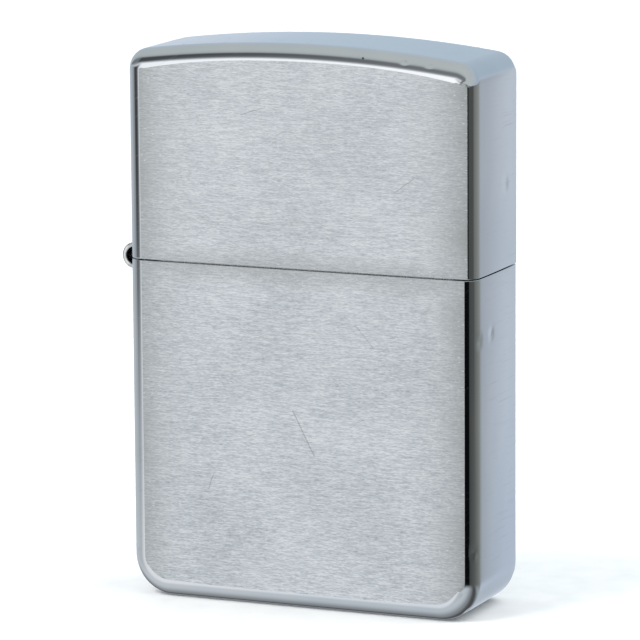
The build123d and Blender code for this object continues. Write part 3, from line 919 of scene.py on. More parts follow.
def scratch(tree, middle, length, lean, width):
    """One straight scratch on the wide faces: a thin band about a line through a point (X, Z)."""
    place_at = add(tree, "ShaderNodeTexCoord", out="Object")
    shifted = add(tree, "ShaderNodeVectorMath", {
        0: place_at, 1: (middle[0] * MM, 0, middle[1] * MM),
    }, operation="SUBTRACT")
    turned = add(
        tree, "ShaderNodeVectorRotate", {"Vector": shifted, "Angle": np.radians(lean)},
        rotation_type="Y_AXIS",
    )
    parts = add(tree, "ShaderNodeSeparateXYZ", {"Vector": turned}).node.outputs
    waver = add(
        tree, MATH, (field(tree, (2, 2, 2)), 0.3 * MM, -0.15 * MM), operation="MULTIPLY_ADD",
    )
    off = add(
        tree, MATH, (add(tree, MATH, (parts["Z"], waver), operation="ADD"),), operation="ABSOLUTE",
    )
    thin = add(tree, MATH, (off, width / 2 * MM), operation="LESS_THAN")
    along = add(tree, MATH, (parts["X"],), operation="ABSOLUTE")
    short = add(tree, MATH, (along, length / 2 * MM), operation="LESS_THAN")
    return add(tree, MATH, (thin, short), operation="MULTIPLY")


def any_of(tree, values):
    """The largest of several values at each point."""
    result = values[0]
    for value in values[1:]:
        result = add(tree, MATH, (result, value), operation="MAXIMUM")
    return result


def grained(name, colour, metallic, roughness, tones, rough=None, relief=None, **values):
    """Material whose tone, roughness and relief each follow a field of noise.

    tones and rough are a field's settings and a ramp's stops; relief is a field's settings, its
    depth in millimetres and its strength.
    """
    material, tree, shader = surface(name, colour, metallic, roughness, **values)
    links = {"Base Color": add(tree, RAMP, {"Fac": field(tree, *tones[0])}, tones[1])}
    if rough:
        links["Roughness"] = add(tree, RAMP, {"Fac": field(tree, *rough[0])}, rough[1])
    if relief:
        relief = (field(tree, *relief[0]), *relief[1:])
    dress(shader, links, relief)
    return material


_made = {}


def once(make):
    """Makes each material a single time, however many pieces use it."""
    def kept():
        if make.__name__ not in _made:
            _made[make.__name__] = make()
        return _made[make.__name__]
    kept.__doc__ = make.__doc__
    return kept


@once
def polished_chrome():
    """Chromium plate, buffed: a cool mirror with a faint wave, hairline wear and small nicks."""
    c = bpy.context.scene.lighter_colours
    material, tree, shader = surface("buffed_chromium_plate", c.chrome, 1.0, 0.05)
    haze = add(tree, RAMP, {"Fac": field(tree, (7, 7, 9), 3)}, [(0.35, 0.03), (0.75, 0.1)])
    rub = add(
        tree, RAMP, {"Fac": field(tree, (6, 6, 0.12), 2, turn=0.5)}, [(0.6, 0.0), (0.68, 0.12)],
    )
    pits = nicks(tree, 3.4, 0.14, 0.30)
    rough = add(
        tree, MATH,
        (
            add(tree, MATH, (haze, rub), operation="ADD"),
            add(tree, MATH, (pits, 0.3), operation="MULTIPLY"),
        ),
        operation="ADD",
    )
    stain = add(
        tree, RAMP, {"Fac": field(tree, (11, 11, 15), 2)}, [(0.4, c.chrome), (0.7, "#c3c8cd")],
    )
    dull = add(tree, MIX, {0: pits, 6: stain, 7: "#6f7377"}, out=2, data_type="RGBA")
    wave = field(tree, (5, 5, 6), 2)
    height = add(
        tree, MATH, (add(tree, MATH, (wave, 0.35), operation="MULTIPLY"), pits),
        operation="SUBTRACT",
    )
    dress(shader, {"Base Color": dull, "Roughness": rough}, (height, 0.03, 0.35))
    return material


@once
def brushed_chrome():
    """Chromium plate over a brushed face: a satin sheen drawn into short level hairlines.

    Real hairlines are about 0.02 mm wide; they are drawn at 0.06 to 0.15 mm so that they show.
    """
    c = bpy.context.scene.lighter_colours
    material, tree, shader = surface(
        "brushed_chromium_plate", c.brushed_chrome, 1.0, 0.34, Anisotropic=0.45
    )
    long_lines = field(tree, (1.15, 1.15, 0.13), 3)
    short_lines = field(tree, (0.45, 0.45, 0.09), 2, shift=0.013)
    flecks = field(tree, (0.42, 0.42, 0.10), 1, shift=0.027)
    cloud = field(tree, (9, 9, 7), 3, shift=0.041)
    lines = add(
        tree, MATH, (long_lines, 0.5, add(tree, MATH, (short_lines, 0.5), operation="MULTIPLY")),
        operation="MULTIPLY_ADD",
    )
    tone = add(
        tree, MATH, (cloud, 0.12, add(tree, MATH, (lines, 0.88), operation="MULTIPLY")),
        operation="MULTIPLY_ADD",
    )
    base = add(
        tree, RAMP, {"Fac": tone}, [(0.34, "#9a9fa4"), (0.49, c.brushed_chrome), (0.64, "#eceff2")],
    )
    # Painted shade: the brushed tone turns a darker grey-green towards the upright side edges and near
    # the split between case and lid.
    place_at = add(tree, "ShaderNodeTexCoord", out="Object")
    parts = add(tree, "ShaderNodeSeparateXYZ", {"Vector": place_at}).node.outputs
    reach = add(
        tree, MATH, (add(tree, MATH, (parts["X"],), operation="ABSOLUTE"), 22 * MM),
        operation="DIVIDE",
    )
    reach = add(tree, MATH, (cloud, 0.25, reach), operation="MULTIPLY_ADD")
    from_split = add(
        tree, MATH, (parts["Z"], box_mm("case_bottom")[1][2] * MM), operation="SUBTRACT",
    )
    from_split = add(
        tree, MATH, (add(tree, MATH, (from_split,), operation="ABSOLUTE"), 6 * MM),
        operation="DIVIDE",
    )
    from_split = add(tree, MATH, (cloud, 0.5, from_split), operation="MULTIPLY_ADD")
    painted_edge_shade = add(
        tree, MATH,
        (
            add(tree, RAMP, {"Fac": reach}, [(0.66, 0.0), (0.8, 0.12), (0.9, 0.42), (1.0, 0.8)]),
            add(tree, RAMP, {"Fac": from_split}, [(0.3, 0.35), (0.62, 0.0)]),
        ),
        operation="MAXIMUM",
    )
    # Mix the painted edge shade into the brushed tone.
    edge_shaded = add(tree, MIX, {0: painted_edge_shade, 6: base, 7: "#8f928f"}, out=2, data_type="RGBA")
    bright = add(tree, RAMP, {"Fac": flecks}, [(0.66, 0.0), (0.78, 0.6)])
    with_flecks = add(tree, MIX, {0: bright, 6: edge_shaded, 7: "#f2f4f6"}, out=2, data_type="RGBA")
    marks = any_of(tree, [
        scratch(tree, (0.5, 18.2), 5.2, -62, 0.09),
        scratch(tree, (11.5, 44.0), 2.6, 35, 0.06),
        scratch(tree, (-9.8, 12.5), 1.7, 70, 0.07),
        scratch(tree, (7.2, 28.5), 3.1, -48, 0.05),
        scratch(tree, (-5.1, 50.6), 2.2, 18, 0.06),
    ])
    pits = nicks(tree, 4.6, 0.10, 0.22)
    dark = add(
        tree, MATH, (add(tree, MATH, (marks, 0.55), operation="MULTIPLY"), pits),
        operation="MAXIMUM",
    )
    worn = add(tree, MIX, {0: dark, 6: with_flecks, 7: "#7d8082"}, out=2, data_type="RGBA")
    rough = add(tree, RAMP, {"Fac": lines}, [(0.35, 0.26), (0.65, 0.42)])
    height = add(
        tree, MATH, (lines, add(tree, MATH, (dark, 0.8), operation="MULTIPLY")),
        operation="SUBTRACT",
    )
    dress(shader, {"Base Color": worn, "Roughness": rough}, (height, 0.012, 0.5))
    return material


@once
def satin_plating():
    """Thin plating on the unbuffed inside of the sheet: an even, slightly yellow satin."""
    c = bpy.context.scene.lighter_colours
    soot, drawn = ((8, 8, 8), 3, 0.0, 0.02), ((1.2, 1.2, 9), 3)
    return grained(
        "satin_plated_brass_sheet", c.satin, 1.0, 0.36, (soot, [(0.3, "#b9b6b0"), (0.62, c.satin)]),
        (drawn, [(0.3, 0.42), (0.7, 0.62)]), (drawn, 0.01, 0.4),
    )


@once
def stainless():
    """Stainless sheet, tumbled: grey satin with a fine grain and faint upright drawing marks."""
    c = bpy.context.scene.lighter_colours
    material, tree, shader = surface("tumbled_stainless_sheet", c.steel, 1.0, 0.28)
    drawn = field(tree, (0.25, 0.25, 7), 3)
    grain = field(tree, (0.3, 0.3, 0.3), 2, shift=0.01)
    both = add(
        tree, MATH, (drawn, 0.6, add(tree, MATH, (grain, 0.4), operation="MULTIPLY")),
        operation="MULTIPLY_ADD",
    )
    tone = add(tree, RAMP, {"Fac": both}, [(0.35, "#a7a8a8"), (0.6, c.steel)])
    rough = add(tree, RAMP, {"Fac": both}, [(0.35, 0.2), (0.65, 0.36)])
    dress(shader, {"Base Color": tone, "Roughness": rough}, (both, 0.008, 0.4))
    return material


@once
def sooted_stainless():
    """The wind guard's stainless sheet: heat turns it straw and brown near the top, with soot."""
    c = bpy.context.scene.lighter_colours
    material, tree, shader = surface("heat_stained_stainless", c.steel, 1.0, 0.3)
    low, high = box_mm("chimney")
    place_at = add(tree, "ShaderNodeTexCoord", out="Object")
    parts = add(tree, "ShaderNodeSeparateXYZ", {"Vector": place_at}).node.outputs
    climb = add(
        tree, "ShaderNodeMapRange",
        {"Value": parts["Z"], "From Min": low[2] * MM, "From Max": high[2] * MM}, out="Result",
    )
    cloud = field(tree, (4, 4, 4), 4)
    heat = add(
        tree, MATH, (cloud, 0.34, add(tree, MATH, (climb, 0.72), operation="MULTIPLY")),
        operation="MULTIPLY_ADD",
    )
    tint = add(
        tree, RAMP, {"Fac": heat},
        [(0.5, c.steel), (0.74, "#b9b1a0"), (0.9, "#a3947c"), (1.0, "#7d766e")],
    )
    grain = field(tree, (0.3, 0.3, 5), 3, shift=0.01)
    rough = add(
        tree, MATH, (heat, 0.16, add(tree, MATH, (grain, 0.35), operation="MULTIPLY")),
        operation="MULTIPLY_ADD",
    )
    dress(shader, {"Base Color": tint, "Roughness": rough}, (grain, 0.008, 0.4))
    return material


@once
def hardened_steel():
    """Case-hardened wheel steel: dark grey teeth with brighter worn tips and flint dust."""
    c = bpy.context.scene.lighter_colours
    dust = ((0.6, 0.6, 0.6), 4)
    return grained(
        "case_hardened_steel", c.wheel, 1.0, 0.42,
        (dust, [(0.38, "#3c3b3a"), (0.56, c.wheel), (0.72, "#8c8b89")]),
        (dust, [(0.3, 0.34), (0.7, 0.6)]), (dust, 0.02, 0.5),
    )


@once
def plain_steel():
    """Nickel-plated steel of the hinge, cam and rivets: grey, half bright, lightly marked."""
    c = bpy.context.scene.lighter_colours
    grime, marks = ((1.5, 1.5, 1.5), 3), ((0.5, 0.5, 0.5), 4)
    return grained(
        "nickel_plated_steel", c.steel, 1.0, 0.2, (grime, [(0.34, "#7e7f80"), (0.52, c.steel)]),
        (marks, [(0.35, 0.14), (0.7, 0.34)]), (marks, 0.01, 0.3),
    )


@once
def spring_steel():
    """Blued spring steel: darker, with a thin straw and blue temper colour."""
    c = bpy.context.scene.lighter_colours
    temper, drawn = ((2, 2, 2.5), 2), ((0.2, 0.2, 1.5), 2)
    return grained(
        "tempered_spring_steel", c.spring, 1.0, 0.3,
        (temper, [(0.3, "#6a6f7a"), (0.5, c.spring), (0.7, "#9b9080")]), relief=(drawn, 0.006, 0.4),
    )


@once
def turned_brass():
    """Drawn and turned brass, left bare: warm yellow with brown tarnish in patches."""
    c = bpy.context.scene.lighter_colours
    material, tree, shader = surface("turned_brass", c.brass, 1.0, 0.28)
    tarnish = field(tree, (3, 3, 4), 4)
    tone = add(tree, RAMP, {"Fac": tarnish}, [(0.35, "#9a7a45"), (0.58, c.brass)])
    rings = field(tree, (1.5, 1.5, 0.07), 2)
    rough = add(
        tree, MATH, (tarnish, -0.2, add(tree, MATH, (rings, 0.2, 0.28), operation="MULTIPLY_ADD")),
        operation="MULTIPLY_ADD",
    )
    dress(shader, {"Base Color": tone, "Roughness": rough}, (rings, 0.006, 0.4))
    return material


@once
def flint_alloy():
    """Ferrocerium, pressed and scraped: nearly black, dull, with a coarse crumbly grain."""
    c = bpy.context.scene.lighter_colours
    grit = ((0.15, 0.15, 0.15), 4)
    tones = (grit, [(0.4, c.flint), (0.75, "#7a756e")])
    return grained("ferrocerium", c.flint, 0.6, 0.62, tones, relief=(grit, 0.05, 0.7))


@once
def wick_cotton():
    """Braided cotton, soaked and burnt: cream below, brown and then black at the free end."""
    c = bpy.context.scene.lighter_colours
    material, tree, shader = surface("braided_cotton_wick", c.wick, 0.0, 0.88, Sheen_Weight=0.3)
    high = box_mm("wick")[1]
    place_at = add(tree, "ShaderNodeTexCoord", out="Object")
    parts = add(tree, "ShaderNodeSeparateXYZ", {"Vector": place_at}).node.outputs
    near_end = add(
        tree, "ShaderNodeMapRange",
        {"Value": parts["Z"], "From Min": (high[2] - 5.5) * MM, "From Max": high[2] * MM},
        out="Result",
    )
    cloud = field(tree, (1.2, 1.2, 0.8), 3)
    burnt = add(tree, MATH, (cloud, 0.35, near_end), operation="MULTIPLY_ADD")
    tone = add(
        tree, RAMP, {"Fac": burnt},
        [(0.2, c.wick), (0.48, "#b59a6c"), (0.78, "#4b3a2a"), (1.0, "#17130f")],
    )
    dress(shader, {"Base Color": tone}, (field(tree, (0.12, 0.12, 0.5), 3), 0.06, 0.8))
    return material


@once
def copper_wire():
    """Fine drawn copper in the wick, browned by heat."""
    c = bpy.context.scene.lighter_colours
    tones = (((0.8, 0.8, 0.8), 3), [(0.35, "#6d4630"), (0.6, c.copper)])
    return grained("drawn_copper_wire", c.copper, 1.0, 0.35, tones)


@once
def cotton_wadding():
    """Loose cotton wadding: off-white fibre, soft all over, with shallow folds."""
    c = bpy.context.scene.lighter_colours
    fibre = ((0.25, 0.9, 0.25), 5)
    return grained(
        "cotton_wadding", c.wadding, 0.0, 0.95, (fibre, [(0.35, "#cfc9bb"), (0.62, c.wadding)]),
        relief=(fibre, 0.25, 0.8), Sheen_Weight=0.5,
    )


@once
def wool_felt():
    """Pressed wool felt: grey-cream, matt, matted fibres with darker specks of fluff."""
    c = bpy.context.scene.lighter_colours
    fibre = ((0.35, 0.2, 0.35), 6)
    return grained(
        "pressed_wool_felt", c.felt, 0.0, 0.97, (fibre, [(0.3, "#a39c8e"), (0.6, c.felt)]),
        relief=(fibre, 0.15, 0.8), Sheen_Weight=0.6,
    )


def floor_card():
    """Matt white paper sweep: even and pale."""
    c = bpy.context.scene.lighter_colours
    tones = (((3, 3, 3), 3), [(0.3, "#f4f5f6"), (0.7, c.floor)])
    return grained("white_paper_sweep", c.floor, 0.0, 0.9, tones)


# ---- Stage -----------------------------------------------------------------------------
def studio_sky():
    """Table-top studio: what bright metal mirrors in each direction, as the walls of a room.

    Level directions follow the compass: a pale sheet in front, a black gap beside the camera,
    a grey wall to the right and pale blue daylight behind. Above, the colour follows the arch
    from the front over the top to the back. Straight down the table darkens. The camera
    itself sees only the pale wall.
    """
    world = bpy.data.worlds.new("studio")
    bpy.context.scene.world = world
    world.use_nodes = True
    tree = world.node_tree
    tree.nodes.clear()
    direction = add(tree, "ShaderNodeTexCoord", out="Generated")
    parts = add(tree, "ShaderNodeSeparateXYZ", {"Vector": direction}).node.outputs
    toward = add(tree, MATH, (parts["Y"], -1.0), operation="MULTIPLY")
    compass = add(tree, MATH, (parts["X"], toward), operation="ARCTAN2")
    around = add(tree, MATH, (compass, 1 / TAU, 0.5), operation="MULTIPLY_ADD")
    rise = add(tree, MATH, (parts["Z"],), operation="ARCSINE")
    level = add(tree, MATH, (rise, 1 / np.pi, 0.5), operation="MULTIPLY_ADD")
    ahead = np.radians(-23)
    forward = add(
        tree, "ShaderNodeVectorMath", {0: direction, 1: (np.sin(ahead), -np.cos(ahead), 0)},
        out="Value", operation="DOT_PRODUCT",
    )
    arch = add(tree, MATH, (parts["Z"], forward), operation="ARCTAN2")
    over = add(tree, MATH, (arch, np.pi), operation="DIVIDE")

    def stops(*pairs):
        return [(degrees / 360 + 0.5, tone) for degrees, tone in pairs]

    walls = add(
        tree, RAMP, {"Fac": around},
        stops(
            (-180, "#aab3c0"), (-120, "#b0b6bd"), (-97, "#a9adb0"), (-84, "#97999b"),
            (-74, "#8d8f91"), (-66, "#48494b"), (-50, "#3a3b3c"), (-42, "#6f7071"),
            (-36, "#b8babb"), (-31, "#f4f4f4"), (-18, "#fdfdfd"), (-13, "#c6c8ca"), (-4, "#b4b6b8"),
            (7.5, "#a8aaac"), (9, "#08090a"), (51, "#0a0b0c"), (55, "#474947"), (88, "#4a4c4a"),
            (93, "#6a6c69"), (115, "#7a7c78"), (143, "#8b8d8a"), (150, "#888b8b"), (153, "#979ca1"),
            (157, "#a1a7af"), (160, "#b2b9c2"), (180, "#abb3bd"),
        ),
    )
    table = add(
        tree, RAMP, {"Fac": around},
        stops(
            (-180, "#aab3c0"), (-97, "#b4b8bb"), (-60, "#aeb2b4"), (-36, "#d6d8da"),
            (-18, "#dcdee0"), (-10, "#b8babc"), (7.5, "#a8aaac"), (9, "#08090a"), (51, "#0a0b0c"),
            (55, "#414341"), (93, "#5a5c59"), (143, "#7e817d"), (147, "#868b8b"),
            (155.5, "#8d9395"), (156.5, "#a3aab3"), (160, "#b0b8c4"), (180, "#aab3c0"),
        ),
    )
    near = add(tree, RAMP, {"Fac": level}, [(0.5 - 12.5 / 180, 1.0), (0.5 - 8.8 / 180, 0.0)])
    low_walls = add(tree, MIX, {0: near, 6: walls, 7: table}, out=2, data_type="RGBA")
    beneath = add(tree, MATH, (arch, 1 / TAU, 0.5), operation="MULTIPLY_ADD")
    floor = add(
        tree, RAMP, {"Fac": beneath},
        stops(
            (-180, "#aab3c0"), (-152, "#a0a7ad"), (-136, "#585a5b"), (-129, "#464647"),
            (-113, "#555556"), (-99, "#7c7e80"), (-87, "#868a8c"), (-77, "#94989b"),
            (-67, "#a4a8ab"), (-58, "#b1b5b8"), (-45, "#bbbfc3"), (-20, "#bec2c6"),
        ),
    )
    down = add(tree, RAMP, {"Fac": level}, [(0.5 - 30 / 180, 1.0), (0.5 - 18 / 180, 0.0)])
    below = add(tree, MIX, {0: down, 6: low_walls, 7: floor}, out=2, data_type="RGBA")
    ceiling = add(
        tree, RAMP, {"Fac": over},
        [(degrees / 180, tone) for degrees, tone in (
            (0, "#fbfbfb"), (4, "#dcdcdc"), (8, "#b4b6b6"), (13, "#8f9294"), (18, "#74787b"),
            (30, "#6e7275"), (36, "#787c7e"), (43, "#9a9d9d"), (52, "#acb0af"), (66, "#b0b5b4"),
            (108, "#aeb3b3"), (118, "#a9b0b5"), (126, "#abb4ba"), (140, "#a8b2b9"),
            (146, "#a0adb8"), (168, "#9eacb8"), (180, "#aab3c0"),
        )],
    )
    shadow = add(
        tree, RAMP, {"Fac": around},
        stops((-58, 0.0), (-46, 0.72), (-33, 0.66), (-20, 0.05)),
    )
    lower_arch = add(tree, RAMP, {"Fac": over}, [(0.06, 0.0), (0.1, 1.0), (0.2, 1.0), (0.25, 0.0)])
    dimmed = add(
        tree, MIX,
        {0: add(tree, MATH, (shadow, lower_arch), operation="MULTIPLY"), 6: ceiling, 7: "#1c1d1f"},
        out=2, data_type="RGBA",
    )
    upward = add(tree, RAMP, {"Fac": level}, [(0.5, 0.0), (0.5 + 5 / 180, 1.0)])
    sky = add(tree, MIX, {0: upward, 6: below, 7: dimmed}, out=2, data_type="RGBA")
    lit = add(tree, "ShaderNodeBackground", {"Color": sky, "Strength": 1.6})
    plain = add(tree, "ShaderNodeBackground", {"Color": "#fdfdfe", "Strength": 1.0})
    seen = add(tree, "ShaderNodeLightPath", out="Is Camera Ray")
    either = add(tree, "ShaderNodeMixShader", {0: seen, 1: lit, 2: plain})
    add(tree, "ShaderNodeOutputWorld", {"Surface": either})


def soft_box(name, place_at, aim, size, power):
    """Square soft light that points at a place."""
    light = bpy.data.lights.new(name, "AREA")
    light.shape = "SQUARE"
    light.size = size
    light.energy = power
    lamp = bpy.data.objects.new(name, light)
    bpy.context.scene.collection.objects.link(lamp)
    lamp.location = place_at
    turn = (Vector(aim) - Vector(place_at)).to_track_quat("-Z", "Y")
    lamp.rotation_euler = turn.to_euler()
    lamp.visible_glossy = False
    return lamp


def camera_at(azimuth, elevation, roll, distance, aim, lens):
    """Camera on a circle round the object, rolled a little, with no depth of field."""
    az, el = np.radians(azimuth), np.radians(elevation)
    away = Vector((np.sin(az) * np.cos(el), -np.cos(az) * np.cos(el), np.sin(el)))
    camera = bpy.data.cameras.new("camera")
    camera.lens = lens
    camera.sensor_width = 36
    camera.clip_start = 0.01
    seat = bpy.data.objects.new("camera", camera)
    bpy.context.scene.collection.objects.link(seat)
    seat.location = Vector(aim) + away * distance
    turn = (-away).to_track_quat("-Z", "Y") @ Quaternion((0, 0, 1), np.radians(roll))
    seat.rotation_euler = turn.to_euler()
    bpy.context.scene.camera = seat
    return seat


# ---- Sizes and colours that a user would change ----------------------------------------
def length(name, millimetres, description, least=0.0):
    """A length with its default in millimetres and its least value in metres."""
    return FloatProperty(
        name=name, description=description, default=millimetres * MM, min=least,
        precision=5, unit="LENGTH", subtype="DISTANCE",
    )


def colour(name, hex_colour, description):
    """A colour with its sRGB hex default."""
    return FloatVectorProperty(
        name=name, description=description, subtype="COLOR", size=3, min=0.0, max=1.0,
        default=linear(hex_colour),
    )


class LighterSizes(PropertyGroup):
    edge_radius: length("Edge radius", 1.6, "Rounding along the outer edges of case and lid")
    base_corner: length("Base corner", 4.2, "Corner radius at the base, from the front")
    lid_corner: length("Lid corner", 2.2, "Corner radius at the top, from the front")
    dome_rise: length("Dome rise", 1.38, "How far the lid's top bulges")
    base_rise: length("Base rise", 0.01, "How far the base bulges: pressed nearly flat")
    wall: length("Wall", 0.75, "Sheet thickness of case and lid")
    rim_rounding: length("Rim rounding", 0.05, "Broken edge where case and lid meet")
    case_crease: FloatProperty(
        name="Case crease", description="Where brushing ends on the case's rounded edge, in degrees",
        default=19.0,
    )
    lid_crease: FloatProperty(
        name="Lid crease", description="Where brushing ends on the lid's rounded edge, in degrees",
        default=34.0,
    )
    shoulder_run: length("Shoulder run", 4.4, "Width over which a face falls away at its edge")
    shoulder_fall: length("Shoulder fall", 0.12, "How far a face has fallen away at its edge")
    side_bow: length("Side bow", 0.10, "How far the narrow sides bow out")
    barrel_play: length("Barrel play", 0.12, "Room round the hinge barrel in the shells")
    knuckles: IntProperty(name="Knuckles", description="Pieces of the barrel", default=5, min=3)
    knuckle_gap: length("Knuckle gap", 0.08, "Gap between neighbouring knuckles")
    hinge_pin_radius: length("Hinge pin radius", 0.55, "Radius of the hinge pin")
    pin_sunk: length("Pin sunk", 0.60, "How deep the hinge pin's ends sit in the barrel")
    knuckle_bore: length("Knuckle bore", 0.90, "Radius of the hole through the rolled knuckles")
    flint_travel: length("Flint travel", 1.5, "How far the flint presses its spring down")
    insert_corner: length("Insert corner", 2.2, "Upright corners of the insert")
    insert_wall: length("Insert wall", 0.4, "Sheet thickness of the insert")
    sheet: length("Guard sheet", 0.5, "Sheet thickness of the wind guard")
    guard_end: length("Guard end", -8.5, "X of the wind guard's closed end", -1.0)
    guard_corner: length("Guard corner", 3.2, "Rounding of the wind guard's closed end")
    guard_shoulder: length("Guard shoulder", 6.0, "X where the guard's top starts to fall")
    hole_diameter: length("Hole diameter", 2.3, "Wind holes")
    hole_pitch: length("Hole pitch", 3.8, "Wind holes in a row")
    hole_rows: length("Hole rows", 3.7, "Height between rows of wind holes")
    hole_centre: length("Hole centre", -0.3, "X of the middle of the wind holes", -1.0)
    hole_middle: length("Hole middle", 9.4, "Middle row of holes above the deck")
    wheel_band: length("Wheel band", 6.0, "Width of the toothed band")
    wheel_hub_radius: length("Hub radius", 2.0, "Hub that spaces the wheel from its ears")
    wheel_bore: length("Wheel bore", 0.95, "Radius of the wheel's bore")
    wheel_teeth: IntProperty(name="Teeth", description="Coarse teeth round the wheel", default=30, min=8)
    tooth_depth: length("Tooth depth", 0.32, "Depth of the coarse teeth")
    cam_heel: length("Cam heel", 2.0, "Round heel of the cam")
    cam_nose: length("Cam nose", 0.6, "Rounded nose of the cam")
    rivet_head_height: length("Rivet head", 0.3, "Height of each rivet head")
    tab_lift: length("Tab lift", 0.3, "Lid's tab above the deck")
    tab_width: length("Tab width", 3.0, "Width of the lid's tab")
    braid_lay: length("Braid lay", 6.0, "Height in which a strand goes once round the wick")
    braid_strands: IntProperty(name="Strands", description="Strands wound each way", default=6, min=3)
    wick_wire: length("Wick wire", 0.14, "Diameter of the copper wires in the wick")


class LighterColours(PropertyGroup):
    chrome: colour("Polished chrome", "#cccfd2", "Buffed chromium plate")
    brushed_chrome: colour("Brushed chrome", "#c4c9cd", "Brushed chromium plate")
    satin: colour("Satin plating", "#c3beb2", "Unbuffed inside of the sheet")
    steel: colour("Steel", "#c2c3c3", "Stainless and nickel-plated parts")
    wheel: colour("Wheel steel", "#5d5c5b", "Hardened wheel")
    spring: colour("Spring steel", "#84868a", "Tempered springs")
    brass: colour("Brass", "#d3b06a", "Bare brass parts")
    flint: colour("Flint", "#2c2926", "Ferrocerium")
    wick: colour("Wick", "#e6dcc4", "Clean part of the wick")
    copper: colour("Copper", "#c98a63", "Wires in the wick")
    wadding: colour("Wadding", "#f0ece2", "Cotton wadding")
    felt: colour("Felt", "#d8d2c4", "Pressed felt")
    floor: colour("Floor", "#fbfbfb", "Paper sweep")


# ---- One operator for each piece or group of like pieces -------------------------------
class LIGHTER_OT_stage(Operator):
    """Makes the floor, the soft light and the camera"""
    bl_idname = "lighter.stage"
    bl_label = "Stage"

    def execute(self, context):
        camera_at(23.351, 10.199, -0.379, 0.4907, (0, 0, 0.0286), 272.0)
        context.scene.camera.data.shift_x = -0.0051
        context.scene.camera.data.shift_y = 0.0020
        context.scene.view_settings.view_transform = "Standard"
        studio_sky()
        reach = np.linspace(-3000, 3000, 2)
        x, y = np.meshgrid(reach, reach, indexing="ij")
        floor = object_of(mesh_of("floor", [np.stack([x, y, 0 * x - 0.02], -1)]), [floor_card()])
        floor.visible_glossy = False
        soft_box("key", (-0.5, -0.55, 0.75), (0, 0, 0.02), 0.6, 9)
        soft_box("fill", (0.6, 0.3, 0.8), (0, 0, 0.02), 0.8, 7)
        return {"FINISHED"}


class LIGHTER_OT_case(Operator):
    """Makes the bottom half of the case"""
    bl_idname = "lighter.case"
    bl_label = "Case"

    def execute(self, context):
        s = context.scene.lighter_sizes
        finish = (s.base_corner, s.base_rise, s.case_crease, CASE_DENTS)
        shell = half_shell("case_shell", "case_bottom", False, *finish)
        finish_edges(shell)
        place(shell, "case", ["case_bottom"])
        return {"FINISHED"}


class LIGHTER_OT_lid(Operator):
    """Makes the flip-top lid"""
    bl_idname = "lighter.lid"
    bl_label = "Lid"

    def execute(self, context):
        s = context.scene.lighter_sizes
        finish = (s.lid_corner, s.dome_rise, s.lid_crease, LID_DENTS)
        shell = half_shell("lid_shell", "case_lid", True, *finish)
        finish_edges(shell)
        place(shell, "lid", ["case_lid"])
        return {"FINISHED"}


class LIGHTER_OT_hinge(Operator):
    """Makes both leaves, their knuckles, the cam tab and the pin"""
    bl_idname = "lighter.hinge"
    bl_label = "Hinge"

    def execute(self, context):
        bottom, top = box_mm("hinge_leaf_lower")[0][2], box_mm("hinge_leaf_upper")[1][2]
        lower = [*knuckle_grids(0), *leaf_grids(0, -1, bottom)]
        upper = [*knuckle_grids(1), *leaf_grids(1, 1, top), tab_grid()]
        steel = plain_steel()
        piece("hinge_leaf_case", lower, steel, "case", "hinge_leaf_lower")
        piece("hinge_leaf_lid", upper, steel, "lid", "hinge_leaf_upper")
        low, high = box_mm("hinge_pin")
        s = context.scene.lighter_sizes
        radius, sunk = s.hinge_pin_radius / MM, s.pin_sunk / MM
        profile = rod_profile(radius, low[1] + sunk, high[1] - sunk, 0.1)
        rod = lathe(profile, hinge_axis(), 1)
        piece("hinge_rod", [rod], steel, "case", "hinge_pin")
        return {"FINISHED"}


def tab_grid():
    """Tab of the lid's leaf that reaches in under the cam's nose."""
    high = box_mm("hinge_leaf_upper")[1]
    inside = box_mm("hinge_leaf_lower")[1][0]
    s = bpy.context.scene.lighter_sizes
    bottom = box_mm("insert_deck")[1][2] + s.tab_lift / MM
    half = s.tab_width / MM / 2
    return block((inside - 0.4, -half, bottom), (high[0], half, bottom + 0.5), SHEET_EDGE, 2)


class LIGHTER_OT_insert(Operator):
    """Makes the insert's casing and its deck"""
    bl_idname = "lighter.insert"
    bl_label = "Insert"

    def execute(self, context):
        s = context.scene.lighter_sizes
        low, high = box_mm("insert_casing")
        wall = s.insert_wall / MM
        grid = tube_grid(low, high, s.insert_corner / MM, wall, 0.12)
        piece("insert_tank", [grid], stainless(), "case", "insert_casing")
        low, high = box_mm("insert_deck")
        plan = rounded_rectangle(low[:2], high[:2], s.insert_corner / MM - wall, 12)
        top = mesh_of("insert_top", [plate(plan, low[2], high[2], SHEET_EDGE, (0, 1, 2))])
        deck = cut(object_of(top, [stainless()]), deck_cutters(low, high))
        place(finish_edges(deck), "case", ["insert_deck"])
        return {"FINISHED"}


def deck_cutters(low, high):
    """Holes in the deck: round for the wick and the flint tube, a slot for the cam's spring."""
    cutters = []
    for node, play in (("wick", 0.15), ("flint_tube", 0.02)):
        near, far = box_mm(node)
        radius = (far[0] - near[0]) / 2 + play
        hole = bar((near + far) / 2, radius, low[2] - 1, high[2] + 1, 2, 64)
        cutters.append(mesh_of("hole", [hole]))
    pivot, (near, far) = joint_at("cam_pivot"), box_mm("cam_spring")
    slot_low = (pivot[0] - 0.4, near[1] - 0.25, low[2] - 1)
    slot_high = (pivot[0] + 0.4, far[1] + 0.25, high[2] + 1)
    cutters.append(mesh_of("slot", [block(slot_low, slot_high, 0.05, 2)]))
    return cutters


class LIGHTER_OT_chimney(Operator):
    """Makes the perforated wind guard and the ears of the cam"""
    bl_idname = "lighter.chimney"
    bl_label = "Wind guard"

    def execute(self, context):
        guard = object_of(mesh_of("wind_guard", guard_grids()), [sooted_stainless()])
        cut(guard, guard_holes())
        place(finish_edges(guard, 0.05), "case", ["chimney"])
        ears = cam_ear_grids()
        piece("cam_ears", ears, sooted_stainless(), "case", "chimney")
        return {"FINISHED"}


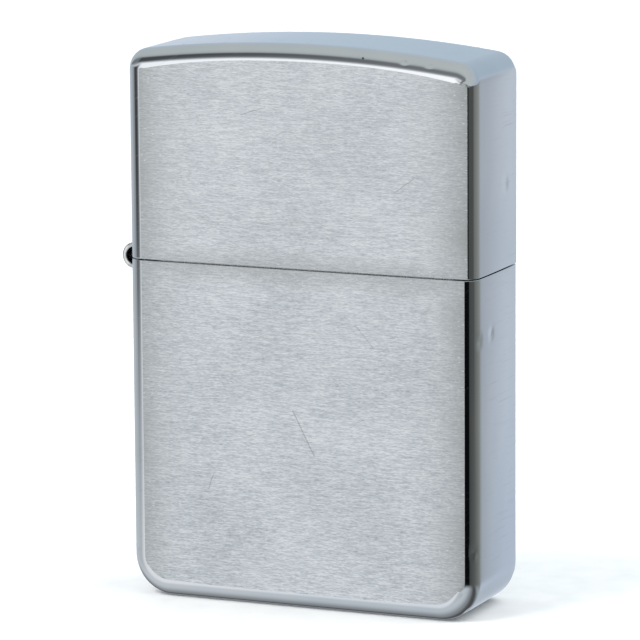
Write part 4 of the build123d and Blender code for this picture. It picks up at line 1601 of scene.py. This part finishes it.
class LIGHTER_OT_wheel(Operator):
    """Makes the flint wheel and its rivet"""
    bl_idname = "lighter.wheel"
    bl_label = "Flint wheel"

    def execute(self, context):
        grid = wheel_grid()
        piece("spark_wheel", [grid], hardened_steel(), "wheel", "flint_wheel")
        for name, node, joint, shank in (
            ("wheel_pin", "wheel_rivet", "flint_wheel_spin", 0.9),
            ("cam_pin", "cam_rivet", "cam_pivot", 0.6),
        ):
            low, high = box_mm(node)
            head = context.scene.lighter_sizes.rivet_head_height / MM
            profile = rivet_profile(shank, (high[0] - low[0]) / 2, low[1], high[1], head)
            pin = lathe(profile, joint_at(joint), 1)
            piece(name, [pin], plain_steel(), "case", node)
        return {"FINISHED"}


class LIGHTER_OT_cam(Operator):
    """Makes the cam, its flat spring and the spring's rivet"""
    bl_idname = "lighter.cam"
    bl_label = "Cam"

    def execute(self, context):
        low, high = box_mm("cam")
        grid = plate(cam_outline(), low[1], high[1], 0.1)
        piece("lid_cam", [grid], plain_steel(), "cam", "cam")
        low, high = box_mm("cam_spring")
        deck, pivot = box_mm("insert_deck")[1][2], joint_at("cam_pivot")
        half = 0.15
        line = bent_path(
            [(low[0] + half, low[2] + 0.02), (low[0] + half, deck - 4.4), (pivot[0], deck - 1.4),
             (pivot[0], high[2] - half), (high[0] - 0.02, high[2] - half)],
            [0.9, 0.9, 0.5],
        )
        strip = sweep(line, strip_section(high[1] - low[1], 2 * half), (0, 1, 0))
        piece("cam_strip", [strip], spring_steel(), "case", "cam_spring")
        low, high = box_mm("cam_spring_rivet")
        profile = rivet_profile(0.6, (high[1] - low[1]) / 2, low[0], high[0], 0.3)
        pin = lathe(profile, (low + high) / 2, 0)
        piece("strip_pin", [pin], plain_steel(), "case", "cam_spring_rivet")
        return {"FINISHED"}


class LIGHTER_OT_flint(Operator):
    """Makes the flint, its tube, spring, spring tip and screw"""
    bl_idname = "lighter.flint"
    bl_label = "Flint feed"

    def execute(self, context):
        low, high = box_mm("flint_tube")
        centre, radius = (low + high) / 2, (high[0] - low[0]) / 2
        bore = radius - 0.65
        tube = lathe(rounded_rectangle((bore, low[2]), (radius, high[2]), 0.12, 4), centre, 2, 64)
        piece("flint_barrel", [tube], turned_brass(), "case", "flint_tube")
        low, high = box_mm("flint")
        flint = lathe(rod_profile((high[0] - low[0]) / 2, low[2], high[2], 0.1), centre, 2)
        piece("flint_stick", [flint], flint_alloy(), "flint_feed", "flint")
        low, high = box_mm("flint_spring_tip")
        neck = high[2] - 1.2
        profile = [(0, low[2]), (0.5, low[2]), (0.65, low[2] + 0.15), (0.65, neck), (1.1, neck),
                   (1.2, neck + 0.1), (1.2, high[2] - 0.1), (1.1, high[2]), (0, high[2])]
        plug = lathe(profile, centre, 2)
        piece("spring_plug", [plug], turned_brass(), "flint_feed", "flint_spring_tip")
        low, high = box_mm("flint_spring")
        wire = 0.18
        wound = coil(centre, (high[0] - low[0]) / 2 - wire, wire, low[2], high[2], 16)
        thing = object_of(mesh_of("feed_spring", [wound]), [spring_steel()])
        place(thing, "case", ["flint_spring"])
        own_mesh(thing)
        low, high = box_mm("flint_screw")
        head, shank = (high[0] - low[0]) / 2, bore - 0.03
        seat = box_mm("flint_tube")[0][2]
        thread = np.linspace(seat + 0.3, high[2] - 0.3, 37)[1:-1]
        crest = shank - 0.11 * (np.arange(len(thread)) % 2)
        profile = [(0, low[2]), (head - 0.15, low[2]), (head, low[2] + 0.15), (head, seat - 0.1),
                   (head - 0.1, seat), (shank, seat), *zip(crest, thread), (shank - 0.15, high[2]),
                   (0, high[2])]
        screw = object_of(mesh_of("tube_screw", [lathe(profile, centre, 2)]), [turned_brass()])
        reach = np.array([2 * head, 0.45])
        slot = block((*(centre[:2] - reach), low[2] - 1), (*(centre[:2] + reach), low[2] + 0.8), 0.05)
        cut(screw, [mesh_of("slot", [slot])])
        place(finish_edges(screw, angle=25), "case", ["flint_screw"])
        return {"FINISHED"}


class LIGHTER_OT_packing(Operator):
    """Makes the wick, the cotton wadding and the felt pad"""
    bl_idname = "lighter.packing"
    bl_label = "Wick and packing"

    def execute(self, context):
        wick = object_of(mesh_of("braided_wick", [wick_grid()]), [wick_cotton()])
        place(wick, "case", ["wick"])
        wires = object_of(mesh_of("wick_wires", wick_wire_grids()), [copper_wire()])
        place(wires, "case", ["wick"])
        for number in range(1, 6):
            grid = ball_grid(f"cotton_ball_{number}", number)
            ball = object_of(mesh_of(f"cotton_wad_{number}", [grid]), [cotton_wadding()])
            place(ball, "case", [f"cotton_ball_{number}"])
        pad = object_of(mesh_of("felt_cushion", [felt_grid()]), [wool_felt()])
        low, high = box_mm("felt_pad")
        screw_low, screw_high = box_mm("flint_screw")
        radius = (screw_high[0] - screw_low[0]) / 2 + 0.1
        hole = bar((screw_low + screw_high) / 2, radius, low[2] - 1, high[2] + 1, 2)
        cut(pad, [mesh_of("hole", [hole])])
        place(finish_edges(pad), "case", ["felt_pad"])
        return {"FINISHED"}


class LIGHTER_PT_panel(Panel):
    bl_label = "Lighter"
    bl_idname = "LIGHTER_PT_panel"
    bl_space_type = "VIEW_3D"
    bl_region_type = "UI"
    bl_category = "Lighter"

    def draw(self, context):
        for operator in OPERATORS:
            self.layout.operator(operator.bl_idname)
        for group in (context.scene.lighter_sizes, context.scene.lighter_colours):
            for name in group.bl_rna.properties.keys():
                if name not in ("rna_type", "name"):
                    self.layout.prop(group, name)


OPERATORS = (
    LIGHTER_OT_stage, LIGHTER_OT_case, LIGHTER_OT_lid, LIGHTER_OT_hinge, LIGHTER_OT_insert,
    LIGHTER_OT_chimney, LIGHTER_OT_wheel, LIGHTER_OT_cam, LIGHTER_OT_flint, LIGHTER_OT_packing,
)
CLASSES = (LighterSizes, LighterColours, *OPERATORS, LIGHTER_PT_panel)


def register():
    for cls in CLASSES:
        bpy.utils.register_class(cls)
    bpy.types.Scene.lighter_sizes = PointerProperty(type=LighterSizes)
    bpy.types.Scene.lighter_colours = PointerProperty(type=LighterColours)


def unregister():
    del bpy.types.Scene.lighter_colours
    del bpy.types.Scene.lighter_sizes
    for cls in reversed(CLASSES):
        bpy.utils.unregister_class(cls)


def main():
    """Registers the classes, makes every piece in order and writes the two boxes."""
    register()
    for operator in OPERATORS:
        group, name = operator.bl_idname.split(".")
        getattr(getattr(bpy.ops, group), name)()


if __name__ == "__main__":
    main()
